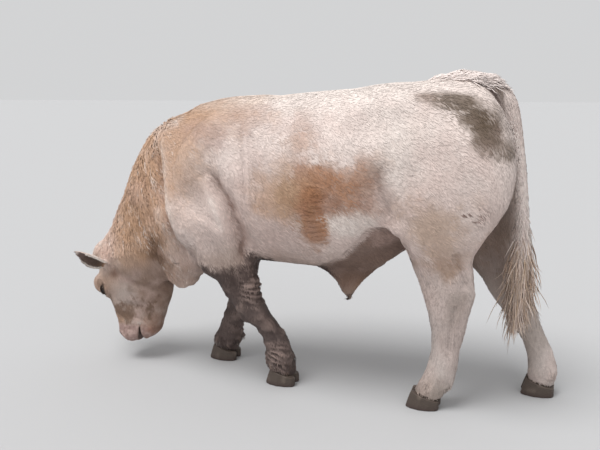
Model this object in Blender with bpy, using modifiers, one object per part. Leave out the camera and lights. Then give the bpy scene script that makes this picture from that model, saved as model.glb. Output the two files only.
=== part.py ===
"""Life-size model of a Charolais bull that grazes as it walks, with its muzzle down at the grass.

The bull faces -X and its left side is -Y. It stands on Z = 0, and the origin lies under the middle
of its whole length. Flesh is modelled as lofts and muscle masses that are fused into one skin, which
thin cuts then divide into head, neck, torso and legs.
"""
import math
import random

import bmesh
import bpy
from mathutils import Matrix, Vector

# Driving dimensions in metres.
GAP = 0.0003
SEED = 7
GOLDEN_TURN = 2.399963
SIDES = 28
STEPS = 4
LEFT = -1.0
RIGHT = 1.0

# The head hangs almost upright: its length runs from the poll to the muzzle.
HEAD_LENGTH = 0.490
POLL = Vector((-1.03, 0.015, 0.560))
HEAD_LEAN = math.radians(14.6)
HEAD_TURN = math.radians(10.0)
HEAD_TILT = math.radians(5.0)

# Each eyeball sits this far down the face, above the head's axis and out to the side.
EYE_RADIUS = 0.021
EYE_DOWN = 0.178
EYE_RISE = 0.042
EYE_OUT = 0.104

# The rims of the lids: an oval ring round each eye, and how far it stands out.
LID_REACH = 0.0235
LID_HALF_WIDTH = 0.0065
LID_HEIGHT = 0.009
LID_OUT = 0.006
LID_LENGTH = 1.22
LID_OPENING = 0.80

# Nostrils: down the face, out to the side, above the axis, and their radii in that frame.
NOSTRIL = (0.458, 0.055, 0.030)
NOSTRIL_RADII = (0.025, 0.012, 0.020)
NOSTRIL_TURN = math.radians(35.0)

# Side outline of the slit between the lips, from its corner to past the muzzle.
MOUTH = ((0.380, -0.092), (0.468, -0.069), (0.590, -0.052), (0.590, -0.058), (0.468, -0.074))

# Ears: the opening is hollow and its two edges stand up from the middle by an angle.
EAR_LENGTH = 0.225
EAR_HALF_WIDTH = 0.040
EAR_THICKNESS = 0.007
EAR_ROOT = (0.070, 0.084, -0.041)
EAR_EDGE_ANGLE = 1.45
EAR_BEND = 0.012

# A claw of a hoof, and the slope of the hairline above it.
CLAW_LENGTH = 0.150
CLAW_WIDTH = 0.065
CLAW_SPREAD = 0.44
CORONET_HEIGHT = 0.064
CORONET_SLOPE = math.radians(17.0)

# A claw from its sole up: height, length, how far back its middle lies, width.
CLAW_LEVELS = (
    (0.000, 1.00, 0.000, 1.00),
    (0.008, 1.02, 0.000, 1.03),
    (0.045, 0.95, 0.006, 1.00),
    (0.115, 0.80, 0.020, 0.92),
)

# Height of the dewclaws over the ground, above the row of a leg that they sit on.
DEWCLAW_HEIGHT = 0.130
DEWCLAW_RADII = (0.020, 0.017, 0.026)

# Where each hoof stands: centre of the two soles, x and y.
FEET = {
    "left_hind": (0.668, -0.148),
    "right_hind": (1.152, 0.148),
    "left_fore": (-0.028, -0.095),
    "right_fore": (-0.430, 0.125),
}

# Torso, from the front of the chest to the buttocks:
# top x and z, bottom x and z, half width, how far down it is widest, squareness.
TORSO = (
    (-0.600, 1.255, -0.620, 0.520, 0.170, 0.55, 2.0),
    (-0.460, 1.320, -0.500, 0.520, 0.225, 0.56, 2.1),
    (-0.300, 1.360, -0.300, 0.590, 0.272, 0.56, 2.1),
    (-0.100, 1.376, -0.100, 0.592, 0.308, 0.56, 2.2),
    (0.100, 1.398, 0.100, 0.590, 0.335, 0.54, 2.3),
    (0.300, 1.412, 0.300, 0.584, 0.345, 0.52, 2.4),
    (0.450, 1.435, 0.450, 0.625, 0.326, 0.48, 2.3),
    (0.600, 1.443, 0.620, 0.722, 0.302, 0.42, 2.3),
    (0.750, 1.436, 0.780, 0.790, 0.280, 0.40, 2.4),
    (0.880, 1.390, 0.900, 0.870, 0.235, 0.40, 2.2),
    (0.965, 1.290, 0.975, 0.960, 0.150, 0.40, 2.0),
)

# Neck, from inside the shoulders to the poll, in the same terms: the crest, then the throat.
NECK = (
    (-0.380, 1.330, -0.460, 0.500, 0.225, 0.50, 2.1),
    (-0.575, 1.288, -0.560, 0.440, 0.215, 0.50, 2.0),
    (-0.716, 1.196, -0.605, 0.440, 0.195, 0.48, 1.9),
    (-0.810, 1.060, -0.620, 0.470, 0.174, 0.46, 1.9),
    (-0.876, 0.920, -0.640, 0.470, 0.155, 0.46, 1.9),
    (-0.938, 0.788, -0.680, 0.440, 0.140, 0.48, 2.0),
    (-0.998, 0.676, -0.740, 0.400, 0.126, 0.50, 2.1),
    (-1.030, 0.606, -0.790, 0.400, 0.106, 0.50, 2.1),
)

# Head, from the poll to the tip of the muzzle: distance down the face, rise of the face
# above the axis, depth to the jaw below it, half width, how far down it is widest, squareness.
HEAD = (
    (0.000, 0.040, 0.095, 0.078, 0.50, 2.0),
    (0.050, 0.060, 0.165, 0.110, 0.42, 2.3),
    (0.120, 0.067, 0.236, 0.126, 0.36, 2.5),
    (0.190, 0.063, 0.282, 0.122, 0.36, 2.4),
    (0.255, 0.054, 0.288, 0.106, 0.42, 2.2),
    (0.315, 0.050, 0.258, 0.091, 0.44, 2.3),
    (0.370, 0.050, 0.218, 0.083, 0.46, 2.4),
    (0.415, 0.054, 0.188, 0.087, 0.42, 2.6),
    (0.455, 0.046, 0.164, 0.086, 0.42, 2.7),
    (0.485, 0.016, 0.128, 0.068, 0.44, 2.4),
)

# Legs, from inside the body to the hoof: height, front x, rear x, side, half width.
LEGS = {
    "left_hind": (
        (1.120, 0.500, 1.030, -0.170, 0.150),
        (0.980, 0.520, 1.022, -0.188, 0.142),
        (0.860, 0.542, 0.968, -0.192, 0.126),
        (0.760, 0.568, 0.902, -0.186, 0.102),
        (0.680, 0.594, 0.868, -0.172, 0.084),
        (0.600, 0.626, 0.878, -0.163, 0.072),
        (0.535, 0.650, 0.886, -0.160, 0.069),
        (0.450, 0.676, 0.864, -0.158, 0.060),
        (0.360, 0.692, 0.848, -0.155, 0.053),
        (0.270, 0.694, 0.826, -0.152, 0.049),
        (0.195, 0.680, 0.822, -0.150, 0.055),
        (0.130, 0.652, 0.800, -0.148, 0.056),
        (0.080, 0.622, 0.768, -0.148, 0.060),
        (0.030, 0.605, 0.748, -0.148, 0.060),
    ),
    "right_hind": (
        (1.120, 0.520, 1.030, 0.170, 0.150),
        (0.980, 0.555, 1.045, 0.188, 0.142),
        (0.860, 0.600, 1.042, 0.192, 0.126),
        (0.760, 0.660, 1.036, 0.186, 0.104),
        (0.680, 0.735, 1.045, 0.172, 0.086),
        (0.600, 0.812, 1.070, 0.163, 0.072),
        (0.535, 0.872, 1.098, 0.160, 0.068),
        (0.450, 0.926, 1.120, 0.158, 0.058),
        (0.360, 0.998, 1.148, 0.155, 0.051),
        (0.270, 1.060, 1.186, 0.152, 0.048),
        (0.195, 1.094, 1.222, 0.150, 0.055),
        (0.130, 1.104, 1.232, 0.148, 0.056),
        (0.080, 1.102, 1.232, 0.148, 0.060),
        (0.030, 1.090, 1.228, 0.148, 0.060),
    ),
    "left_fore": (
        (0.740, -0.420, -0.150, -0.205, 0.088),
        (0.620, -0.380, -0.124, -0.195, 0.080),
        (0.520, -0.322, -0.112, -0.175, 0.068),
        (0.430, -0.274, -0.096, -0.157, 0.061),
        (0.370, -0.236, -0.072, -0.146, 0.064),
        (0.320, -0.180, -0.038, -0.137, 0.058),
        (0.260, -0.122, 0.000, -0.126, 0.050),
        (0.205, -0.104, 0.026, -0.117, 0.050),
        (0.155, -0.104, 0.030, -0.108, 0.056),
        (0.100, -0.100, 0.036, -0.098, 0.057),
        (0.060, -0.098, 0.042, -0.095, 0.060),
        (0.025, -0.097, 0.043, -0.095, 0.060),
    ),
    "right_fore": (
        (0.740, -0.455, -0.200, 0.205, 0.088),
        (0.620, -0.432, -0.222, 0.195, 0.080),
        (0.520, -0.420, -0.248, 0.180, 0.068),
        (0.420, -0.410, -0.254, 0.162, 0.060),
        (0.335, -0.406, -0.252, 0.148, 0.062),
        (0.275, -0.420, -0.276, 0.140, 0.058),
        (0.205, -0.442, -0.322, 0.134, 0.050),
        (0.150, -0.470, -0.336, 0.128, 0.055),
        (0.100, -0.492, -0.350, 0.125, 0.057),
        (0.060, -0.498, -0.358, 0.125, 0.060),
        (0.025, -0.498, -0.358, 0.125, 0.060),
    ),
}

# Muscle and bone masses of one side: centre x, y (mirrored), z, radii x, y, z, tilt in degrees.
PAIRED_MASSES = (
    ("shoulder_blade", -0.400, 0.168, 1.050, 0.125, 0.105, 0.280, 28.0),
    ("shoulder_point", -0.505, 0.186, 0.835, 0.105, 0.092, 0.130, 15.0),
    ("triceps", -0.335, 0.214, 0.815, 0.180, 0.098, 0.140, -20.0),
    ("forearm_head", -0.300, 0.200, 0.665, 0.120, 0.082, 0.140, 10.0),
    ("hook_bone", 0.530, 0.195, 1.310, 0.115, 0.082, 0.090, 0.0),
    ("rump", 0.740, 0.125, 1.250, 0.250, 0.142, 0.165, -8.0),
    ("thigh", 0.765, 0.195, 1.040, 0.240, 0.128, 0.300, 0.0),
    ("hamstring", 0.915, 0.155, 1.040, 0.115, 0.118, 0.230, 6.0),
    ("stifle", 0.615, 0.225, 0.880, 0.112, 0.085, 0.185, -12.0),
    ("flank", 0.410, 0.215, 0.870, 0.160, 0.085, 0.110, 8.0),
    ("pin_bone", 0.950, 0.100, 1.225, 0.065, 0.060, 0.070, 0.0),
)

# Bones that show at the joints of one leg, in the same terms but not mirrored.
JOINT_MASSES = (
    ("hock_left_hind", 0.765, -0.162, 0.565, 0.066, 0.076, 0.062, 20.0),
    ("hock_right_hind", 0.985, 0.162, 0.560, 0.066, 0.076, 0.062, 30.0),
    ("heel_left_hind", 0.852, -0.164, 0.628, 0.032, 0.032, 0.060, 10.0),
    ("heel_right_hind", 1.052, 0.164, 0.628, 0.032, 0.032, 0.060, 15.0),
    ("fetlock_left_hind", 0.750, -0.150, 0.200, 0.062, 0.061, 0.045, 0.0),
    ("fetlock_right_hind", 1.158, 0.150, 0.205, 0.062, 0.061, 0.045, 0.0),
    ("knee_left_fore", -0.150, -0.144, 0.365, 0.078, 0.070, 0.058, -30.0),
    ("knee_right_fore", -0.330, 0.147, 0.320, 0.076, 0.070, 0.058, 10.0),
    ("fetlock_left_fore", -0.034, -0.111, 0.160, 0.064, 0.060, 0.044, 0.0),
    ("fetlock_right_fore", -0.398, 0.130, 0.172, 0.060, 0.059, 0.042, 0.0),
)

# Masses on the middle plane, in the same terms.
MIDDLE_MASSES = (
    ("withers", -0.240, 0.0, 1.310, 0.300, 0.110, 0.070, -5.0),
    ("crest", -0.620, 0.0, 1.140, 0.110, 0.120, 0.190, 50.0),
    ("sacrum", 0.800, 0.0, 1.405, 0.190, 0.110, 0.062, 4.0),
    ("tail_root", 0.930, 0.0, 1.355, 0.080, 0.066, 0.066, 35.0),
    ("brisket", -0.590, 0.0, 0.530, 0.105, 0.075, 0.130, 10.0),
    ("breast", -0.500, 0.0, 0.650, 0.130, 0.160, 0.120, 0.0),
    ("belly", 0.290, 0.0, 0.662, 0.240, 0.200, 0.076, 0.0),
)

# Masses of one side of the head: down the face, rise, out, radii along those three.
HEAD_MASSES = (
    ("brow", 0.150, 0.056, 0.093, 0.056, 0.032, 0.036),
    ("cheek", 0.200, -0.135, 0.066, 0.120, 0.108, 0.052),
    ("cheek_bone", 0.235, -0.002, 0.074, 0.105, 0.030, 0.030),
    ("nostril_wing", 0.445, 0.006, 0.058, 0.034, 0.034, 0.030),
    ("lip", 0.436, -0.064, 0.056, 0.045, 0.032, 0.033),
    ("jaw_bar", 0.300, -0.190, 0.038, 0.105, 0.026, 0.028),
    ("ear_root", 0.030, -0.030, 0.095, 0.032, 0.034, 0.034),
)
CHIN = (0.425, -0.140, 0.0, 0.050, 0.038, 0.058)
POLL_KNOB = (-0.008, 0.022, 0.0, 0.055, 0.058, 0.088)

# Sheath under the belly, from inside the belly to its tip, in the terms of the torso.
SHEATH = (
    (0.020, 0.650, 0.530, 0.665, 0.085, 0.50, 2.0),
    (0.090, 0.590, 0.452, 0.604, 0.062, 0.50, 2.0),
    (0.155, 0.556, 0.388, 0.546, 0.046, 0.45, 2.0),
    (0.208, 0.514, 0.340, 0.494, 0.036, 0.45, 2.0),
    (0.236, 0.468, 0.313, 0.455, 0.029, 0.48, 2.0),
    (0.252, 0.432, 0.297, 0.428, 0.021, 0.50, 2.0),
)
SHEATH_REGION = ((0.020, 0.200), (0.020, 0.560), (0.455, 0.560), (0.455, 0.200))
SHEATH_REGION_HALF = 0.150

# Scrotum between the thighs: height, front x, rear x, side, half width.
SCROTUM = (
    (0.802, 0.691, 0.791, 0.001, 0.041),
    (0.741, 0.694, 0.787, 0.001, 0.039),
    (0.681, 0.682, 0.796, 0.001, 0.050),
    (0.611, 0.670, 0.806, 0.001, 0.062),
    (0.551, 0.672, 0.802, 0.001, 0.058),
    (0.511, 0.700, 0.778, 0.001, 0.034),
)

# Tail: x, z and radius, from the root over the tail head and down past the end of the dock.
TAIL = (
    (0.905, 1.385, 0.044),
    (0.960, 1.372, 0.044),
    (0.986, 1.315, 0.040),
    (1.006, 1.230, 0.036),
    (1.026, 1.120, 0.032),
    (1.044, 1.000, 0.029),
    (1.056, 0.880, 0.028),
    (1.061, 0.760, 0.028),
)
DOCK_END = 0.800

# Switch of long hair on the end of the tail. Its matted core ends less than half way to the
# tips, in the same terms as the tail, and locks hang from it: the height of the first and the
# last root, how far their middles swell out, and where the longest of them end.
SWITCH_CORE = (
    (1.058, 0.840, 0.026),
    (1.061, 0.760, 0.032),
    (1.064, 0.660, 0.030),
    (1.064, 0.590, 0.016),
)
SWITCH_LOCKS = 22
SWITCH_ROOTS = (0.770, 0.600)
SWITCH_SWELL = 0.046
SWITCH_TIP = Vector((1.036, 0.0, 0.296))

# A lock of the short tufts on the tail head, the poll and the sheath.
LOCK_WIDTH = 0.036
LOCK_THICKNESS = 0.014
LOCK_SINK = 0.010

# Roots of the tufts, in rows: on the tail head and the sheath as x and y, and on the poll as
# the distance down the face and out to the side.
TAIL_HEAD_ROOTS = ((0.715, 0.0), (0.740, -0.035), (0.745, 0.035), (0.775, 0.0), (0.800, -0.038),
                   (0.805, 0.038), (0.835, 0.0), (0.858, -0.032), (0.862, 0.032), (0.890, 0.0))
POLL_ROOTS = ((-0.022, -0.046), (-0.028, -0.016), (-0.026, 0.016), (-0.020, 0.044), (0.000, -0.034),
              (-0.004, 0.0), (0.002, 0.034), (0.024, -0.018), (0.022, 0.016))
SHEATH_ROOTS = ((0.262, -0.007), (0.272, 0.008), (0.282, -0.005), (0.290, 0.006))

# Cuts between the nodes: side outlines in x and z.
HIND_REGION = ((0.462, -0.2), (0.462, 0.628), (1.120, 0.990), (1.600, 0.990), (1.600, -0.2))
FORE_REGION = ((-0.560, -0.2), (-0.560, 0.300), (-0.445, 0.600), (-0.080, 0.560), (0.200, 0.560),
               (0.200, -0.2))
NECK_CUT = (Vector((-0.500, 0.0, 1.320)), Vector((-0.985, 0.0, 0.173)))
HEAD_CUT = (Vector((-0.905, 0.0, 0.600)), Vector((-0.600, 0.0, -0.790)))

COLOURS = {
    "cream_coat": (0.72, 0.60, 0.50),
    "tan_coat": (0.60, 0.40, 0.27),
    "face_coat": (0.47, 0.32, 0.24),
    "muddy_leg": (0.14, 0.09, 0.07),
    "pale_leg": (0.60, 0.50, 0.43),
    "horn": (0.16, 0.11, 0.08),
    "eye": (0.02, 0.013, 0.010),
    "ear_coat": (0.62, 0.47, 0.37),
    "tail_hair": (0.66, 0.53, 0.39),
    "bare_skin": (0.45, 0.27, 0.21),
}


def clear_scene():
    for item in list(bpy.data.objects):
        bpy.data.objects.remove(item, do_unlink=True)


def new_collection(name):
    group = bpy.data.collections.new(name)
    bpy.context.scene.collection.children.link(group)
    return group


def coat(name, roughness=0.8):
    """A plain finish in one of the bull's colours."""
    finish = bpy.data.materials.get(name)
    if finish is None:
        finish = bpy.data.materials.new(name)
        finish.use_nodes = True
        shader = finish.node_tree.nodes["Principled BSDF"]
        shader.inputs["Base Color"].default_value = (*COLOURS[name], 1.0)
        shader.inputs["Roughness"].default_value = roughness
        shader.inputs["Metallic"].default_value = 0.0
    return finish


def add_object(name, mesh, group):
    item = bpy.data.objects.new(name, mesh)
    group.objects.link(item)
    return item


def mesh_from(name, bm):
    bmesh.ops.recalc_face_normals(bm, faces=bm.faces)
    mesh = bpy.data.meshes.new(name)
    bm.to_mesh(mesh)
    bm.free()
    return mesh


def eased(rows, steps):
    """Rows between the given ones, on a smooth curve through them."""
    result = []
    last = len(rows) - 1
    for index in range(last):
        before, start = rows[max(index - 1, 0)], rows[index]
        end, after = rows[index + 1], rows[min(index + 2, last)]
        for step in range(steps):
            t = step / steps
            result.append(tuple(
                0.5 * (2 * b + (c - a) * t + (2 * a - 5 * b + 4 * c - d) * t * t
                       + (3 * b - a - 3 * c + d) * t ** 3)
                for a, b, c, d in zip(before, start, end, after)))
    result.append(tuple(rows[last]))
    return result


def bulge(value, power):
    return math.copysign(abs(value) ** (2.0 / power), value)


def section(top, bottom, out, half_width, widest=0.5, power=2.0, sides=SIDES):
    """A closed ring from a top point to a bottom point, as wide as it says along out."""
    middle = top.lerp(bottom, widest)
    ring = []
    for index in range(sides):
        angle = 2.0 * math.pi * index / sides
        up = bulge(math.cos(angle), power)
        side = bulge(math.sin(angle), power)
        reach = top if up > 0.0 else bottom
        ring.append(middle.lerp(reach, abs(up)) + out * (half_width * side))
    return ring


def loft(name, rings, group):
    """A closed skin over rings of equally many points, with a fan at each end."""
    bm = bmesh.new()
    loops = [[bm.verts.new(point) for point in ring] for ring in rings]
    count = len(loops[0])
    for near, far in zip(loops, loops[1:]):
        for index in range(count):
            after = (index + 1) % count
            bm.faces.new((near[index], near[after], far[after], far[index]))
    for loop in (loops[0], loops[-1]):
        hub = bm.verts.new(sum((vert.co for vert in loop), Vector()) / count)
        for index in range(count):
            bm.faces.new((loop[index], loop[(index + 1) % count], hub))
    return add_object(name, mesh_from(name, bm), group)


def trunk_loft(name, rows, group):
    """A loft whose rows give a top and a bottom point on the middle plane."""
    rings = []
    for top_x, top_z, low_x, low_z, half_width, widest, power in eased(rows, STEPS):
        top, bottom = Vector((top_x, 0.0, top_z)), Vector((low_x, 0.0, low_z))
        rings.append(section(top, bottom, Vector((0.0, 1.0, 0.0)), half_width, widest, power))
    return loft(name, rings, group)


def limb_loft(name, rows, group, sides=SIDES, steps=STEPS):
    """A loft whose rows give a level section: height, front, rear, side and half width."""
    rings = []
    for height, front, rear, side, half_width in eased(rows, steps):
        top, bottom = Vector((front, side, height)), Vector((rear, side, height))
        rings.append(section(top, bottom, Vector((0.0, 1.0, 0.0)), half_width, 0.5, 2.1, sides))
    return loft(name, rings, group)


def tube_loft(name, rows, sides, group, steps=2):
    """A round, bent rod whose rows give x, z and radius on the middle plane."""
    path = eased(rows, steps)
    rings = []
    for index, (x, z, radius) in enumerate(path):
        before, after = path[max(index - 1, 0)], path[min(index + 1, len(path) - 1)]
        along = Vector((after[0] - before[0], 0.0, after[1] - before[1])).normalized()
        across = Vector((0.0, 1.0, 0.0)).cross(along)
        centre = Vector((x, 0.0, z))
        rings.append(section(centre + across * radius, centre - across * radius,
                             Vector((0.0, 1.0, 0.0)), radius, sides=sides))
    return loft(name, rings, group)


def ball(name, place, group, segments=20, rings=12):
    """A unit sphere carried by a matrix."""
    bm = bmesh.new()
    bmesh.ops.create_uvsphere(bm, u_segments=segments, v_segments=rings, radius=1.0)
    bmesh.ops.transform(bm, matrix=place, verts=bm.verts)
    return add_object(name, mesh_from(name, bm), group)


def mass(name, centre, radii, tilt, group):
    turn = Matrix.Rotation(math.radians(tilt), 4, "Y")
    place = Matrix.Translation(centre) @ turn @ Matrix.Diagonal((*radii, 1.0))
    return ball(name, place, group)


def head_frame():
    """The head's own axes: x down the face, y out to the right, z up out of the forehead."""
    down = Vector((math.sin(HEAD_LEAN), 0.0, -math.cos(HEAD_LEAN)))
    rise = Vector((-math.cos(HEAD_LEAN), 0.0, -math.sin(HEAD_LEAN)))
    out = rise.cross(down)
    axes = Matrix((down, out, rise)).transposed().to_4x4()
    turn = Matrix.Rotation(HEAD_TURN, 4, "Z")
    tilt = Matrix.Rotation(-HEAD_TILT, 4, "X")
    return Matrix.Translation(POLL) @ turn @ tilt @ axes


def side_of(frame, side):
    """The sign along the frame's own y that leads to a side of the bull."""
    return math.copysign(1.0, frame.col[1].y) * side


def head_forms(group):
    """Skull, muzzle, cheeks and lips, before they are fused."""
    frame = head_frame()
    out = frame.to_3x3() @ Vector((0.0, 1.0, 0.0))
    rings = []
    for down, rise, depth, half_width, widest, power in eased(HEAD, STEPS):
        top = frame @ Vector((down, 0.0, rise))
        bottom = frame @ Vector((down, 0.0, -depth))
        rings.append(section(top, bottom, out, half_width, widest, power))
    forms = [loft("skull", rings, group)]
    for name, down, rise, side, along, up, across in HEAD_MASSES:
        for sign in (LEFT, RIGHT):
            place = Matrix.Translation((down, sign * side, rise))
            place = frame @ place @ Matrix.Diagonal((along, across, up, 1.0))
            forms.append(ball(f"{name}_{sign:+.0f}", place, group))
    for name, (down, rise, side, along, up, across) in (("chin", CHIN), ("poll_knob", POLL_KNOB)):
        place = frame @ Matrix.Translation((down, side, rise))
        forms.append(ball(name, place @ Matrix.Diagonal((along, across, up, 1.0)), group))
    return forms


def dewclaws(foot, group):
    """The two small horn buttons at the back of the fetlock."""
    rows = LEGS[foot]
    _, _, rear, side, half_width = min(rows, key=lambda row: abs(row[0] - DEWCLAW_HEIGHT))
    forms = []
    for sign in (LEFT, RIGHT):
        centre = Vector((rear - 0.006, side + sign * half_width * 0.55, DEWCLAW_HEIGHT))
        forms.append(mass(f"dewclaw_{foot}_{sign:+.0f}", centre, DEWCLAW_RADII, -25.0, group))
    return forms


def body_forms(group):
    """Trunk, legs and muscles, before they are fused."""
    forms = [trunk_loft("barrel", TORSO, group), trunk_loft("throat_and_crest", NECK, group)]
    forms.append(trunk_loft("sheath_form", SHEATH, group))
    for foot, rows in LEGS.items():
        forms.append(limb_loft(f"{foot}_form", rows, group))
        forms.extend(dewclaws(foot, group))
    for name, x, y, z, rx, ry, rz, tilt in PAIRED_MASSES:
        for side in (LEFT, RIGHT):
            centre = Vector((x, side * y, z))
            forms.append(mass(f"{name}_{side:+.0f}", centre, (rx, ry, rz), tilt, group))
    for name, x, y, z, rx, ry, rz, tilt in MIDDLE_MASSES + JOINT_MASSES:
        forms.append(mass(name, Vector((x, y, z)), (rx, ry, rz), tilt, group))
    return forms


def settled(item):
    """Put the modifiers' result into the object's own mesh."""
    graph = bpy.context.evaluated_depsgraph_get()
    mesh = bpy.data.meshes.new_from_object(item.evaluated_get(graph))
    item.modifiers.clear()
    item.data = mesh
    return item


def trunk_share(point):
    """How far a point belongs to the trunk, from 0 on the legs and the head to 1."""
    height = (point.z - 0.55) / 0.20
    reach = (point.x + 0.95) / 0.20
    return min(max(min(height, reach), 0.0), 1.0)


def fused(name, forms, voxel, rounds, triangles, group):
    """One smooth skin round all the forms, thinned to a number of triangles."""
    bm = bmesh.new()
    for form in forms:
        bm.from_mesh(form.data)
    mesh = bpy.data.meshes.new(name)
    bm.to_mesh(mesh)
    bm.free()
    item = add_object(name, mesh, group)
    skin = item.modifiers.new("Skin", "REMESH")
    skin.mode = "VOXEL"
    skin.voxel_size = voxel
    settled(item)
    trunk = item.vertex_groups.new(name="trunk")
    for vert in item.data.vertices:
        trunk.add([vert.index], trunk_share(vert.co), "REPLACE")
    for label, group_name, count in (("Soften", "", rounds), ("Soften trunk", "trunk", 3 * rounds)):
        soften = item.modifiers.new(label, "SMOOTH")
        soften.factor = 0.5
        soften.iterations = count
        soften.vertex_group = group_name
    settled(item)
    thin = item.modifiers.new("Thin", "DECIMATE")
    thin.ratio = triangles / (2.0 * len(item.data.polygons))
    return settled(item)


def prism(name, outline, y_low, y_high, group, frame=Matrix.Identity(4)):
    """A closed block with an outline in the x and z of a frame."""
    bm = bmesh.new()
    near = [bm.verts.new(frame @ Vector((x, y_low, z))) for x, z in outline]
    far = [bm.verts.new(frame @ Vector((x, y_high, z))) for x, z in outline]
    bm.faces.new(near)
    bm.faces.new(far)
    for index in range(len(outline)):
        after = (index + 1) % len(outline)
        bm.faces.new((near[index], near[after], far[after], far[index]))
    return cutter(add_object(name, mesh_from(name, bm), group))


def half_space(name, point, normal, group, size=3.0):
    """A large block whose face lies on a plane, on the side that the normal points to."""
    bm = bmesh.new()
    bmesh.ops.create_cube(bm, size=size)
    turn = normal.normalized().to_track_quat("Z", "Y").to_matrix().to_4x4()
    centre = point + normal.normalized() * (0.5 * size)
    bmesh.ops.transform(bm, matrix=Matrix.Translation(centre) @ turn, verts=bm.verts)
    return cutter(add_object(name, mesh_from(name, bm), group))


def cutter(item):
    item.hide_render = True
    item.display_type = "WIRE"
    return item


def largest_only(item):
    """Keep the closed surface with the most faces."""
    bm = bmesh.new()
    bm.from_mesh(item.data)
    bmesh.ops.remove_doubles(bm, verts=bm.verts, dist=1e-6)
    seen, islands = set(), []
    for face in bm.faces:
        if face in seen:
            continue
        island, queue = [], [face]
        seen.add(face)
        while queue:
            current = queue.pop()
            island.append(current)
            for edge in current.edges:
                for other in edge.link_faces:
                    if other not in seen:
                        seen.add(other)
                        queue.append(other)
        islands.append(island)
    islands.sort(key=len, reverse=True)
    for island in islands[1:]:
        bmesh.ops.delete(bm, geom=island, context="FACES")
    bm.to_mesh(item.data)
    bm.free()
    return item


def boolean(item, other, operation, solver="EXACT"):
    """Cut, keep or join with another closed object, and keep one closed surface."""
    change = item.modifiers.new(operation.title(), "BOOLEAN")
    change.operation = operation
    change.solver = solver
    change.object = other
    settled(item)
    return largest_only(item)


def copy_of(source, name, group):
    return add_object(name, source.data.copy(), group)


def grown(source, name, distance, group):
    """A copy swollen by a distance, to cut a neighbour clear of the source."""
    item = copy_of(source, name, group)
    swell = item.modifiers.new("Swell", "DISPLACE")
    swell.strength = distance
    swell.mid_level = 0.0
    settled(item)
    return cutter(item)


def inset(outline, distance):
    """An outline, given clockwise in x and z, with each of its sides moved inwards."""
    corners = [Vector(corner) for corner in outline]
    moved = []
    for index, corner in enumerate(corners):
        arriving = (corner - corners[index - 1]).normalized()
        leaving = (corners[(index + 1) % len(corners)] - corner).normalized()
        first = Vector((arriving.y, -arriving.x))
        second = Vector((leaving.y, -leaving.x))
        moved.append(corner + (first + second) * (distance / (1.0 + first.dot(second))))
    return moved


def leg_blocks(name, outline, tools):
    """For each side, the block that cuts the torso and the block that holds the leg inside it."""
    blocks = {}
    for side, low, high in ((LEFT, -0.6, 0.0), (RIGHT, 0.0, 0.6)):
        clear = prism(f"{name}_clear_{side:+.0f}", outline, low, high, tools)
        held = prism(f"{name}_{side:+.0f}", inset(outline, GAP), low + 0.5 * GAP, high - 0.5 * GAP, tools)
        blocks[side] = (held, clear)
    return blocks


def lock(name, root, middle, tip, flat_way, width, thickness, group):
    """A flat, tapered lock of hair that bends from its root over a middle point to its tip."""
    bm = bmesh.new()
    rings = []
    for t, taper in ((0.0, 0.80), (0.30, 1.0), (0.60, 0.85), (0.85, 0.45)):
        centre = root * (1 - t) ** 2 + middle * (2 * t * (1 - t)) + tip * t ** 2
        along = ((middle - root) * (1 - t) + (tip - middle) * t).normalized()
        across = along.cross(flat_way).normalized() * (0.5 * width * taper)
        depth = across.cross(along).normalized() * (0.5 * thickness * taper)
        corners = (across, depth, -across, -depth)
        rings.append([bm.verts.new(centre + corner) for corner in corners])
    end = bm.verts.new(tip)
    bm.faces.new(rings[0])
    for near, far in zip(rings, rings[1:]):
        for index in range(4):
            after = (index + 1) % 4
            bm.faces.new((near[index], near[after], far[after], far[index]))
    for index in range(4):
        bm.faces.new((rings[-1][index], rings[-1][(index + 1) % 4], end))
    return add_object(name, mesh_from(name, bm), group)


def tuft(item, rays, lie, lean, length, group):
    """Grow locks on a solid, rooted where rays meet it, that lie along one way and stand up."""
    chance = random.Random(SEED)
    bpy.context.view_layer.update()
    locks = []
    for index, (start, way) in enumerate(rays):
        _, place, normal, _ = item.ray_cast(start, way)
        turn = Matrix.Rotation(chance.uniform(-0.5, 0.5), 3, normal)
        flow = (turn @ (lie - normal * lie.dot(normal))).normalized()
        reach = length * chance.uniform(0.75, 1.1)
        root = place - normal * LOCK_SINK
        tip = place + flow * reach + normal * (lean * reach * chance.uniform(0.7, 1.1))
        middle = place + flow * (0.35 * reach) + normal * (0.9 * lean * reach)
        locks.append(lock(f"{item.name}_lock_{index}", root, middle, tip, normal, LOCK_WIDTH,
                          LOCK_THICKNESS, group))
    return with_locks(item, locks, group)


def switch_locks(chance, group):
    """Locks that hang round the core of the tail's switch and gather towards its tip."""
    high, low = SWITCH_ROOTS
    locks = []
    for index in range(SWITCH_LOCKS):
        share = index / (SWITCH_LOCKS - 1)
        angle = GOLDEN_TURN * index + chance.uniform(-0.25, 0.25)
        out = Vector((math.cos(angle), math.sin(angle), 0.0))
        root = Vector((1.062, 0.0, high + (low - high) * share)) + out * 0.016
        reach = (0.40 + 0.60 * share) * chance.uniform(0.88, 1.0)
        tip = root.lerp(SWITCH_TIP, reach) + out * (0.040 * (1.0 - 0.75 * share))
        middle = root.lerp(tip, 0.60) + out * (SWITCH_SWELL * (0.75 + 0.25 * share))
        locks.append(lock(f"switch_lock_{index}", root, middle, tip, out, 0.040, 0.014, group))
    return locks


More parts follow.
